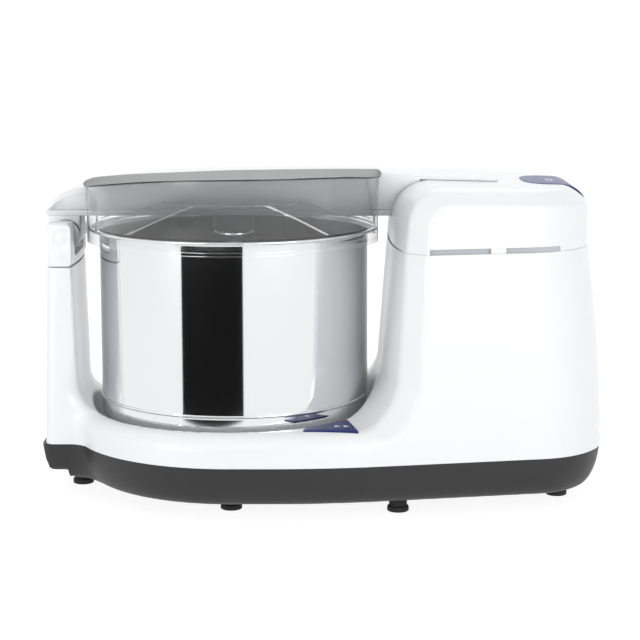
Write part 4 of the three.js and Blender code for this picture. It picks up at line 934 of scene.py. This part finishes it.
# Height of the lid's plate along the arm and along its outer edge
LID_KNOTS = [
    (-0.1626, 0.3372),
    (-0.161, 0.3391),
    (-0.1569, 0.3428),
    (-0.1514, 0.3452),
    (-0.1473, 0.3463),
    (-0.1102, 0.3494),
    (-0.065, 0.3514),
    (0.0085, 0.354),
    (0.0729, 0.3549),
    (0.1157, 0.3553),
    (0.1552, 0.355),
    (0.1595, 0.3525),
    (0.1619, 0.3497),
    (0.1626, 0.3485),
]
EDGE_KNOTS = [
    (-0.1626, 0.336),
    (-0.1556, 0.3382),
    (-0.1414, 0.3422),
    (-0.1169, 0.3468),
    (-0.1006, 0.3492),
    (-0.078, 0.3518),
    (-0.0554, 0.3536),
    (-0.0262, 0.3549),
    (0.014, 0.3555),
    (0.074, 0.3553),
    (0.1149, 0.3538),
    (0.1469, 0.3497),
    (0.1585, 0.3467),
    (0.1626, 0.345),
]


def lid_top(x, y, rear):
    """Height of the lid's plate: straight from its line along the arm to its line round the edge. Behind the arm the
    plate lies lower and falls to the back."""
    slot = sizes().lid_slot
    edge = np.sqrt(np.maximum(LID_R**2 - x**2, 1e-6))
    share = np.clip((np.abs(y) - slot) / np.maximum(edge - slot, 0.002), 0, 1)
    z = smooth_curve(x, LID_KNOTS) * (1 - share) + smooth_curve(x, EDGE_KNOTS) * share
    return z - rear * (0.0065 + 0.012 * (np.abs(y) - slot) / (LID_R - slot))


def painted(obj, name, values):
    """Stores a value for each vertex."""
    obj.data.attributes.new(name, "FLOAT", "POINT").data.foreach_set("value", np.asarray(values, float).ravel())
    return obj


def make_lid_half(name, side, node):
    """From the slot for the arm out over the plate, down its edge, in under the brim and down the skirt, for each
    direction a from left to right."""
    s = sizes()
    slot, skirt_r, bevel, thick, plate_rows = s.lid_slot, LID_R - 0.003, 0.0003, 0.0014, 22
    first = math.asin(slot / LID_R) + 0.002
    a = np.linspace(first, math.pi - first, 180)
    cos, sin = np.cos(a), np.sin(a)

    def ring(r, drop):
        return r * cos, np.maximum(r * sin, slot), top - drop

    x, edge = (LID_R - bevel) * cos, np.maximum((LID_R - bevel) * sin, slot)
    top = lid_top(x, edge, side > 0)
    rows = []
    for t in np.linspace(0, 1, plate_rows):
        y = slot + (edge - slot) * t
        rows.append((x, y, lid_top(x, y, side > 0)))
    rows += [ring(LID_R - bevel * 0.3, bevel * 0.3), ring(LID_R, bevel), ring(LID_R, thick - bevel)]
    rows += [ring(LID_R - bevel, thick), ring(skirt_r + bevel, thick), ring(skirt_r, thick + bevel)]
    x, y, z = rows[-1]
    rows += [(x, y, z + (LID_LOW.z - z) * t) for t in np.linspace(0.06, 1, 10)]
    points = np.stack([np.stack([x, side * y, z], -1) for x, y, z in rows], 0)
    points[..., 0] += AXIS_X
    faces = grid_faces(len(rows), len(a))
    lid = mesh_object(name, points.reshape(-1, 3), faces if side < 0 else faces[:, ::-1])
    row, column = np.indices(points.shape[:2])
    painted_shade_ends = (column == 0) | (column == len(a) - 1)
    painted(lid, "frost", row < plate_rows)
    # Painted shade: the rim rows just under the plate and the cut end columns get the dark edge colour, standing in for
    # refraction's darkening.
    painted(lid, "edge", (row > plate_rows) & ((row < plate_rows + 3) | painted_shade_ends))
    modified(lid, "SOLIDIFY", thickness=s.lid_sheet, offset=-1.0)
    dressed(smoothed(lid, 30), "smoked_clear", "arm", node)


def make_guard(name, side, node):
    """Half a shallow cone: out and down from its ridge to the rim, in and down from its ridge to the hole, cut
    straight along the arm."""
    s = sizes()
    low = DRUM_HIGH.z + 0.0016
    ridge = arc(0.082, low + 0.0225, 0.0045, 70, 110, 6)
    knots = profile((0.1555, low + 0.0008), (0.12, low + 0.0134), ridge, (0.062, low + 0.024))
    t = np.linspace(0, 1, 120)
    rows = []
    for r, z in knots:
        first = math.asin((s.lid_slot + 0.0017) / r)
        a = first + (math.pi - 2 * first) * t
        rows.append(np.stack([AXIS_X + r * np.cos(a), side * r * np.sin(a), z + 0 * a], -1))
    faces = grid_faces(len(rows), len(t))
    guard = mesh_object(name, np.concatenate(rows), faces if side > 0 else faces[:, ::-1])
    # Painted shade: the guard's cut ends get 0.7 of the dark edge colour, in place of refraction's darkening.
    painted(guard, "edge", np.tile(0.7 * ((t == 0) | (t == 1)), len(rows)))
    modified(guard, "SOLIDIFY", thickness=s.guard_sheet, offset=-1.0)
    dressed(smoothed(guard, 30), "smoked_clear", "arm", node)


def make_lid():
    """Both halves of the lid, and then both guards."""
    for make, piece, node in ((make_lid_half, "lid", "lid"), (make_guard, "guard", "splash_guard")):
        for end, side in (("front", -1), ("rear", 1)):
            make(f"{piece}_{end}_clear", side, f"{node}_{end}")


def make_drum():
    """The drum's wall in section, thickness and all: flat bottom, round corner, pressed line, flared rolled rim. Short
    straight faces beside each arc keep the long wall's shading flat."""
    s = sizes()
    r, sheet, corner, tube = s.drum_r, s.drum_sheet, s.drum_corner, s.drum_roll
    fillet, line, short = 0.003, 0.0016, 0.001
    z, rim, top = DRUM_LOW.z, RIM_R, DRUM_HIGH.z
    bead, flange = z + s.drum_bead, top - 2 * tube
    section = profile(
        (0, z),
        arc(r - corner, z + corner, corner, -90, 0, 12),
        (r, z + corner + short),
        (r, bead - 0.003),
        (r, bead - line),
        arc(r - 0.0004, bead, line, -75, 75, 6),
        (r, bead + line),
        (r, bead + 0.003),
        (r, flange - fillet - short),
        arc(r + fillet, flange - fillet, fillet, 180, 90, 6),
        arc(rim - tube, top - tube, tube, -75, 180, 12),
        arc(r + fillet, flange - fillet, fillet + sheet, 90, 180, 6),
        (r - sheet, flange - fillet - short),
        (r - sheet, z + corner + short),
        arc(r - corner, z + corner, corner - sheet, 0, -90, 12),
        (0, z + sheet),
    )
    drum = turned("drum_bowl", section, 256)
    dressed(smoothed(drum, 30), "stainless", "drum", "drum")


def soft_copy(node, slot, body, bevel):
    """A copy of the node's own mesh, merged, its flat faces joined and its edges rounded by bevel."""
    obj = bpy.data.objects.new(node + "_finished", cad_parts[node].data.copy())
    bpy.context.scene.collection.objects.link(obj)

    def work(bm):
        bmesh.ops.remove_doubles(bm, verts=bm.verts, dist=WELD)
        bmesh.ops.dissolve_limit(bm, angle_limit=math.radians(1), verts=bm.verts, edges=bm.edges)

    edited(obj, work)
    modified(obj, "BEVEL", width=bevel, segments=2, limit_method="ANGLE", angle_limit=math.radians(40))
    return dressed(smoothed(obj, 40), slot, body, node)


def make_stones():
    """The flat base stone, and three cones on their sides round it. A cone is turned upright with its point at the
    origin, laid over until its lower edge is level, and set on the base stone at every third of a turn."""
    low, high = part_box("base_stone")
    r, hole, edge = (high.x - low.x) / 2, 0.021, 0.003
    section = profile(
        (hole, low.z),
        (r - 0.0006, low.z),
        (r, low.z + 0.0006),
        arc(r - edge, high.z - edge, edge, 0, 90, 6),
        arc(hole + 0.001, high.z - 0.001, 0.001, 90, 180, 3),
        (hole, low.z),
    )
    stone = turned("base_stone_ground", section, 160)
    dressed(smoothed(stone, 30), "granite", "drum", "base_stone")
    half_angle = math.radians(27)
    slope = math.tan(half_angle)
    inner, outer, bore = 0.042, 0.117 * math.cos(half_angle), 0.0053
    section = profile(
        (bore, inner),
        (inner * slope - 0.001, inner),
        (inner * slope + 0.0002, inner + 0.0016),
        ((outer - edge) * slope, outer - edge),
        arc(outer * slope - edge - 0.0012, outer - edge, edge, 25, 90, 6),
        (bore, outer),
        (bore, inner),
    )
    tilt = math.pi / 2 - half_angle
    for i in range(3):
        turn = math.radians(-90 + 120 * i)
        stone = turned(f"roller_stone_{i + 1}_ground", section, 128, centre=(0, 0))
        place = np.empty(len(stone.data.vertices) * 3)
        stone.data.vertices.foreach_get("co", place)
        x, y, z = place.reshape(-1, 3).T
        x, z = x * math.cos(tilt) + z * math.sin(tilt), z * math.cos(tilt) - x * math.sin(tilt)
        x, y = x * math.cos(turn) - y * math.sin(turn), x * math.sin(turn) + y * math.cos(turn)
        place = np.stack([x + AXIS_X, y, z + high.z + 0.0005], -1)
        stone.data.vertices.foreach_set("co", place.ravel())
        stone.data.update()
        dressed(smoothed(stone, 30), "granite", f"roller_{i + 1}", f"roller_stone_{i + 1}")


def make_boss():
    """The grey boss under the arm with a bore for the plunger, the chrome ring round its foot, and the plunger."""
    bore, round_edge, lip = 0.0083, 0.003, 0.001
    low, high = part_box("pressure_boss")
    r = (high.x - low.x) / 2
    section = profile(
        (0, high.z),
        (0, low.z + 0.02),
        (bore, low.z + 0.02),
        (bore, low.z),
        arc(r - round_edge, low.z + round_edge, round_edge, -90, 0, 6),
        (r, high.z - 4 * lip),
        (r + lip, high.z - 3 * lip),
        (r + lip, high.z),
    )
    dressed(smoothed(turned("boss_moulding", section, 96), 30), "grey_plastic", "arm", "pressure_boss")
    low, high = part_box("boss_ring")
    r = (high.x - low.x) / 2
    section = profile(
        (bore, low.z),
        arc(r - round_edge, low.z + round_edge, round_edge, -90, 0, 6),
        arc(r - lip, high.z - lip, lip, 0, 90, 3),
        (bore, high.z),
        (bore, low.z),
    )
    dressed(smoothed(turned("boss_ring_polished", section, 96), 30), "stainless", "arm", "boss_ring")
    low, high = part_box("boss_plunger")
    foot, stem = 0.012, 0.008
    section = profile(
        (0, low.z),
        arc(foot - 0.0015, low.z + 0.0015, 0.0015, -90, 0, 4),
        arc(foot - lip, low.z + 0.005, lip, 0, 90, 3),
        (stem, low.z + 0.007),
        arc(stem - lip, high.z - lip, lip, 0, 90, 3),
        (0, high.z),
    )
    dressed(smoothed(turned("plunger_ground", section, 64), 30), "steel", "plunger", "boss_plunger")


def make_centre():
    """The post in the drum's middle: a flange on the base stone, and a narrower post above it."""
    low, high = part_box("centre_post")
    flange, post, edge = 0.0205, 0.013, 0.0012
    flange_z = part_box("base_stone")[1].z + 0.004
    section = profile(
        (0, low.z),
        (flange, low.z),
        arc(flange - edge, flange_z - edge, edge, 0, 90, 4),
        (post + edge, flange_z),
        (post, flange_z + edge),
        arc(post - 0.002, high.z - 0.002, 0.002, 0, 90, 5),
        (0, high.z),
    )
    dressed(smoothed(turned("centre_post_polished", section, 96), 30), "stainless", "drum", "centre_post")


def key_shape(name, grow, low, high):
    """The release key's outline: its long edge runs along the well, and grow moves every side outwards."""
    inner = arc(0, 0, 0.1605 - grow, -40, -60.5, 12)
    inner[0] += (grow, 0)
    inner[-1] += (-grow, 0)
    left, right, front = 0.077 - grow, 0.134 + grow, -0.157 - grow
    return raised(name, profile((left, front), (right, front), inner), low, high)


def make_key():
    """The key with rounded edges, and two printed arrow heads on it that point to the right."""
    low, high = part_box("drum_release_key")
    key = key_shape("release_key_moulded", 0.0, low.z, high.z)
    rounding = {"limit_method": "ANGLE", "angle_limit": math.radians(50)}
    modified(key, "BEVEL", width=sizes().key_rounding, segments=3, **rounding)
    dressed(smoothed(key, 35), "blue_plastic", "release_button", "drum_release_key")
    arrow = np.array([(-0.0035, -0.005), (0.0035, 0), (-0.0035, 0.005), (-0.0015, 0)])
    for x in (0.112, 0.1215):
        mark = raised(f"key_mark_{x}", arrow + (x, -0.137), high.z - 0.0002, high.z + 0.00012)
        dressed(mark, "white_plastic", "release_button")


def make_pad():
    """The pad follows the cover's top and then its right shoulder. Its half width at a distance s from its left end is
    47 mm with both ends drawn in: 47 (1 - (1 - s / 30)^2.6)^(1 / 2.6) on the left, and by the square of the distance
    to 26 mm at the right."""
    s = sizes()
    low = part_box("power_pad")[0]
    left, right, r = low.x - AXIS_X, REACH_RIGHT - END_DRAW, s.cover_right
    shoulder = right - r
    flat = np.linspace(left, shoulder, 60)
    along = profile(
        np.stack([flat, cover_top(flat)], -1),
        arc(shoulder, cover_top(shoulder) - r, r, 88, 2, 30),
        (right, low.z),
    )
    step = np.diff(along, axis=0)
    run = np.concatenate([[0], np.cumsum(np.hypot(*step.T))])
    slope = np.gradient(along, axis=0)
    normal = np.stack([-slope[:, 1], slope[:, 0]], -1) / np.hypot(*slope.T)[:, None]
    start, end = ramp(run, 0.03, 0), ramp(run, 0.05, run[-1])
    half = s.pad_half * (1 - start**2.6) ** (1 / 2.6) * (1 - 0.45 * end**2)
    across = np.concatenate([[-1, -0.97], np.linspace(-0.9, 0.9, 13), [0.97, 1]])
    face = along + normal * PAD_PROUD
    points = np.concatenate([np.stack([face[:, 0] + AXIS_X, half * t, face[:, 1]], -1) for t in across])
    pad = mesh_object("pad_face", points, grid_faces(len(across), len(along)))
    painted(pad, "face", np.outer(np.abs(across) < 0.95, (run > 0.002) & (run < run[-1] - 0.03)))
    modified(welded(pad), "SOLIDIFY", thickness=0.003, offset=-1.0)
    dressed(smoothed(pad, 40), "blue_plastic", "power_button", "power_pad")


def make_pad_mark():
    """The pad's printed mark: an oval ring, open to the rear, with a bar in its opening."""
    middle = np.array((0.3435, -0.003))
    a = np.radians(np.linspace(120, 420, 49))
    outer, inner = (np.stack([k * 0.0042 * np.cos(a), k * 0.011 * np.sin(a)], -1) for k in (1, 0.72))
    bar = [(-0.0006, 0.003), (0.0006, 0.003), (0.0006, 0.012), (-0.0006, 0.012)]
    z = cover_top(middle[0]) + PAD_PROUD
    for name, plan in (("power_ring", np.concatenate([outer, inner[::-1]])), ("power_bar", np.array(bar))):
        dressed(raised(name, plan + middle, z - 0.0003, z + 0.0002), "white_plastic", "power_button")


def make_feet():
    """Turned rubber feet: a groove under the sole, a rounded sole, and a neck that goes up into the pan."""
    names = [f"foot_{a}_{b}" for a in ("centre", "tower", "corner") for b in ("front", "rear")] + ["foot_pillar"]
    sole = 0.0012
    for name in names:
        low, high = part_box(name)
        r = (high.x - low.x) / 2
        section = profile(
            (0, low.z),
            (r - 0.004, low.z),
            (r - 0.0035, low.z + 0.0004),
            (r - 0.0022, low.z),
            arc(r - sole, low.z + sole, sole, -90, 0, 4),
            (r, low.z + 0.0045),
            (r - 0.0006, low.z + 0.0055),
            (r - 0.002, low.z + 0.006),
            (r - 0.002, high.z),
            (0, high.z),
        )
        foot = turned(name + "_moulded", section, 64, ((low.x + high.x) / 2, (low.y + high.y) / 2))
        dressed(smoothed(foot, 30), "rubber", "housing", name)


# Nodes that keep their own shape, with the finish and rounding that each gets: (node, slot, body, bevel)
SOFT_NODES = [
    ("hinge_panel_front", "white_plastic", "housing", 0.0006),
    ("hinge_panel_rear", "white_plastic", "housing", 0.0006),
    ("arm_frame", "alloy", "arm", 0.001),
    ("slot_liner", "shade_plastic", "housing", 0.0005),
    ("roller_holder", "grey_plastic", "housing", 0.0012),
    ("mains_gland", "rubber", "housing", 0.0006),
    ("push_switch", "dark_plastic", "housing", 0.001),
    ("motor_plate", "steel", "housing", 0.0006),
    ("control_board", "board", "housing", 0.0003),
]

PLAIN_NODES = {
    "steel": "hinge_pin drum_spindle spindle_bearing_lower spindle_bearing_upper motor_bearing_lower "
    "motor_bearing_upper motor_pulley roller_axle_1 roller_axle_2 roller_axle_3",
    "iron": "bearing_housing drive_coupling motor_stator motor_rotor",
    "alloy": "drum_pulley motor_cap_lower motor_cap_upper",
    "grey_plastic": "drum_base_cup run_capacitor",
    "copper": "winding_lower winding_upper",
    "rubber": "drive_belt",
    "dark_plastic": "cooling_fan",
}


def make_inner():
    """Copies with rounded edges where the edges show, and a finish on the solids that stay."""
    for row in SOFT_NODES:
        soft_copy(*row)
    known = finishes()
    for slot, nodes in PLAIN_NODES.items():
        for node in nodes.split():
            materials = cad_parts[node].data.materials
            materials.clear()
            materials.append(known[slot])


# Stage


def lamp(name, place, target, power, size):
    """A soft rectangular lamp that shines from place to target."""
    data = bpy.data.lights.new(name, "AREA")
    data.shape = "RECTANGLE"
    data.size, data.size_y = size
    data.energy = power
    obj = bpy.data.objects.new(name, data)
    bpy.context.scene.collection.objects.link(obj)
    obj.location = place
    way = Vector(target) - Vector(place)
    obj.rotation_euler = way.to_track_quat("-Z", "Y").to_euler()


def card(name, start, end, low, high, code):
    """An upright studio card in front of the grinder, between two places in plan about the drum's axis. Only
    reflections see it. It shines in its own colour and lights nothing."""
    start, end = ((AXIS_X + x, y) for x, y in (start, end))
    obj = mesh_object(name, [(*start, low), (*start, high), (*end, high), (*end, low)], [(0, 1, 2, 3)])
    material, tree = empty_material(name)
    glow = add(tree, "ShaderNodeEmission", {"Color": mottle(tree, linear(code), 0.2, 0.05)})
    add(tree, "ShaderNodeOutputMaterial", {"Surface": glow.outputs[0]})
    obj.data.materials.append(material)
    obj.visible_camera = obj.visible_diffuse = obj.visible_shadow = False


def shown(tree):
    """1 on rays that show the backdrop as such: from the camera, in a reflection or through clear plastic."""
    path = add(tree, "ShaderNodeLightPath").outputs
    glossy = {0: path["Is Camera Ray"], 1: path["Is Glossy Ray"]}
    either = add(tree, "ShaderNodeMath", glossy, operation="MAXIMUM").outputs[0]
    clear = {0: either, 1: path["Is Transmission Ray"]}
    return add(tree, "ShaderNodeMath", clear, operation="MAXIMUM").outputs[0]


def make_floor():
    """A pale floor that fades into the backdrop, which reflections and clear plastic show as well, and that keeps the
    object's shadow."""
    floor = mesh_object("floor", [(-9, -9, 0), (9, -9, 0), (9, 9, 0), (-9, 9, 0)], [(0, 1, 2, 3)])
    material, tree = empty_material("pale_floor")
    matt = add(tree, "ShaderNodeBsdfDiffuse", {"Color": mottle(tree, colours().floor, 0.4, 0.01)})
    thin = add(tree, "ShaderNodeBsdfDiffuse", {"Color": mottle(tree, linear("#8A8A8A"), 0.4, 0.01)})
    bright = add(tree, "ShaderNodeEmission", {"Color": (1, 1, 1, 1), "Strength": 0.9})
    both = add(tree, "ShaderNodeAddShader", {0: thin.outputs[0], 1: bright.outputs[0]})
    pick = add(tree, "ShaderNodeMixShader", {0: shown(tree), 1: matt.outputs[0], 2: both.outputs[0]})
    add(tree, "ShaderNodeOutputMaterial", {"Surface": pick.outputs[0]})
    floor.data.materials.append(material)


def make_world():
    """An even white surround, dimmer as a light than as it shows."""
    world = bpy.data.worlds.new("studio")
    bpy.context.scene.world = world
    world.use_nodes = True
    tree = world.node_tree
    tree.nodes.clear()
    level = add(tree, "ShaderNodeMapRange", {"Value": shown(tree), "To Min": 0.68, "To Max": 1.15})
    back = add(tree, "ShaderNodeBackground", {"Color": (1, 1, 1, 1), "Strength": level.outputs[0]})
    add(tree, "ShaderNodeOutputWorld", {"Surface": back.outputs[0]})


def make_camera():
    """About 2 m in front of the drum's axis and a little to the right, looking 9.78 degrees down."""
    camera = bpy.data.objects.new("camera", bpy.data.cameras.new("camera"))
    bpy.context.scene.collection.objects.link(camera)
    camera.location = (AXIS_X + 0.0943, -2.0, 0.5295)
    camera.rotation_euler = (math.radians(90 - 9.78), 0, 0)
    camera.data.sensor_width = 36
    camera.data.lens = 103.2
    bpy.context.scene.camera = camera


def make_stage():
    """Floor, surround, lamps, the dark card that the drum reflects, and camera."""
    make_floor()
    make_world()
    lamp("key_lamp", (1.7, -2.5, 0.9), (0, 0, 0.2), 21, (1.6, 1.4))
    lamp("fill_lamp", (-1.6, -2.2, 0.5), (0, 0, 0.25), 16, (1.4, 0.8))
    lamp("top_lamp", (0.3, 1.7, 2.3), (0, 0, 0.3), 16, (1.8, 1.8))
    card("dark_card", (-0.3585, -0.478), (0.0919, -0.5996), 0.0, 0.234, "#1C1C1D")
    make_camera()
    bpy.context.scene.view_settings.view_transform = "Standard"


# Operators


class GRINDER_OT_housing(bpy.types.Operator):
    """Make the white housing with its well"""

    bl_idname = "grinder.housing"
    bl_label = "Housing"

    def execute(self, context):
        make_housing()
        return {"FINISHED"}


class GRINDER_OT_base(bpy.types.Operator):
    """Make the dark base pan"""

    bl_idname = "grinder.base"
    bl_label = "Base"

    def execute(self, context):
        make_base()
        return {"FINISHED"}


class GRINDER_OT_cover(bpy.types.Operator):
    """Make the tower's cover and its channel"""

    bl_idname = "grinder.cover"
    bl_label = "Cover"

    def execute(self, context):
        make_cover()
        make_channel()
        return {"FINISHED"}


class GRINDER_OT_pillar_head(bpy.types.Operator):
    """Make the head of the left pillar"""

    bl_idname = "grinder.pillar_head"
    bl_label = "Pillar head"

    def execute(self, context):
        make_head()
        return {"FINISHED"}


class GRINDER_OT_arm(bpy.types.Operator):
    """Make the tilting arm's shell and tray"""

    bl_idname = "grinder.arm"
    bl_label = "Arm"

    def execute(self, context):
        make_arm()
        make_tray()
        return {"FINISHED"}


class GRINDER_OT_lid(bpy.types.Operator):
    """Make both halves of the lid with their splash guards"""

    bl_idname = "grinder.lid"
    bl_label = "Lid"

    def execute(self, context):
        make_lid()
        return {"FINISHED"}


class GRINDER_OT_drum(bpy.types.Operator):
    """Make the steel drum"""

    bl_idname = "grinder.drum"
    bl_label = "Drum"

    def execute(self, context):
        make_drum()
        return {"FINISHED"}


class GRINDER_OT_stones(bpy.types.Operator):
    """Make the base stone, the roller stones and the centre post"""

    bl_idname = "grinder.stones"
    bl_label = "Stones"

    def execute(self, context):
        make_stones()
        make_centre()
        return {"FINISHED"}


class GRINDER_OT_boss(bpy.types.Operator):
    """Make the pressure boss under the arm"""

    bl_idname = "grinder.boss"
    bl_label = "Boss"

    def execute(self, context):
        make_boss()
        return {"FINISHED"}


class GRINDER_OT_controls(bpy.types.Operator):
    """Make the push pad and the release key"""

    bl_idname = "grinder.controls"
    bl_label = "Controls"

    def execute(self, context):
        make_pad()
        make_pad_mark()
        make_key()
        return {"FINISHED"}


class GRINDER_OT_feet(bpy.types.Operator):
    """Make the rubber feet"""

    bl_idname = "grinder.feet"
    bl_label = "Feet"

    def execute(self, context):
        make_feet()
        return {"FINISHED"}


class GRINDER_OT_inner_parts(bpy.types.Operator):
    """Finish the drive, the motor and the small parts"""

    bl_idname = "grinder.inner_parts"
    bl_label = "Inner parts"

    def execute(self, context):
        make_inner()
        return {"FINISHED"}


class GRINDER_OT_stage(bpy.types.Operator):
    """Make the floor, lamps and camera"""

    bl_idname = "grinder.stage"
    bl_label = "Stage"

    def execute(self, context):
        make_stage()
        return {"FINISHED"}


OPERATORS = [
    GRINDER_OT_housing,
    GRINDER_OT_base,
    GRINDER_OT_cover,
    GRINDER_OT_pillar_head,
    GRINDER_OT_arm,
    GRINDER_OT_lid,
    GRINDER_OT_drum,
    GRINDER_OT_stones,
    GRINDER_OT_boss,
    GRINDER_OT_controls,
    GRINDER_OT_feet,
    GRINDER_OT_inner_parts,
    GRINDER_OT_stage,
]


class GRINDER_PT_panel(bpy.types.Panel):
    """Lists the grinder's pieces."""

    bl_label = "Grinder"
    bl_idname = "GRINDER_PT_panel"
    bl_space_type = "VIEW_3D"
    bl_region_type = "UI"
    bl_category = "Grinder"

    def draw(self, context):
        for made in OPERATORS:
            self.layout.operator(made.bl_idname)
        for group in (context.scene.grinder_sizes, context.scene.grinder_colours):
            for key in group.__annotations__:
                self.layout.prop(group, key)


CLASSES = [GrinderSizes, GrinderColours, *OPERATORS, GRINDER_PT_panel]


def register():
    for made in CLASSES:
        bpy.utils.register_class(made)
    bpy.types.Scene.grinder_sizes = PointerProperty(type=GrinderSizes)
    bpy.types.Scene.grinder_colours = PointerProperty(type=GrinderColours)


def unregister():
    del bpy.types.Scene.grinder_sizes
    del bpy.types.Scene.grinder_colours
    for made in reversed(CLASSES):
        bpy.utils.unregister_class(made)


def main():
    """Makes every piece."""
    register()
    for made in OPERATORS:
        group, key = made.bl_idname.split(".")
        getattr(getattr(bpy.ops, group), key)()


if __name__ == "__main__":
    main()
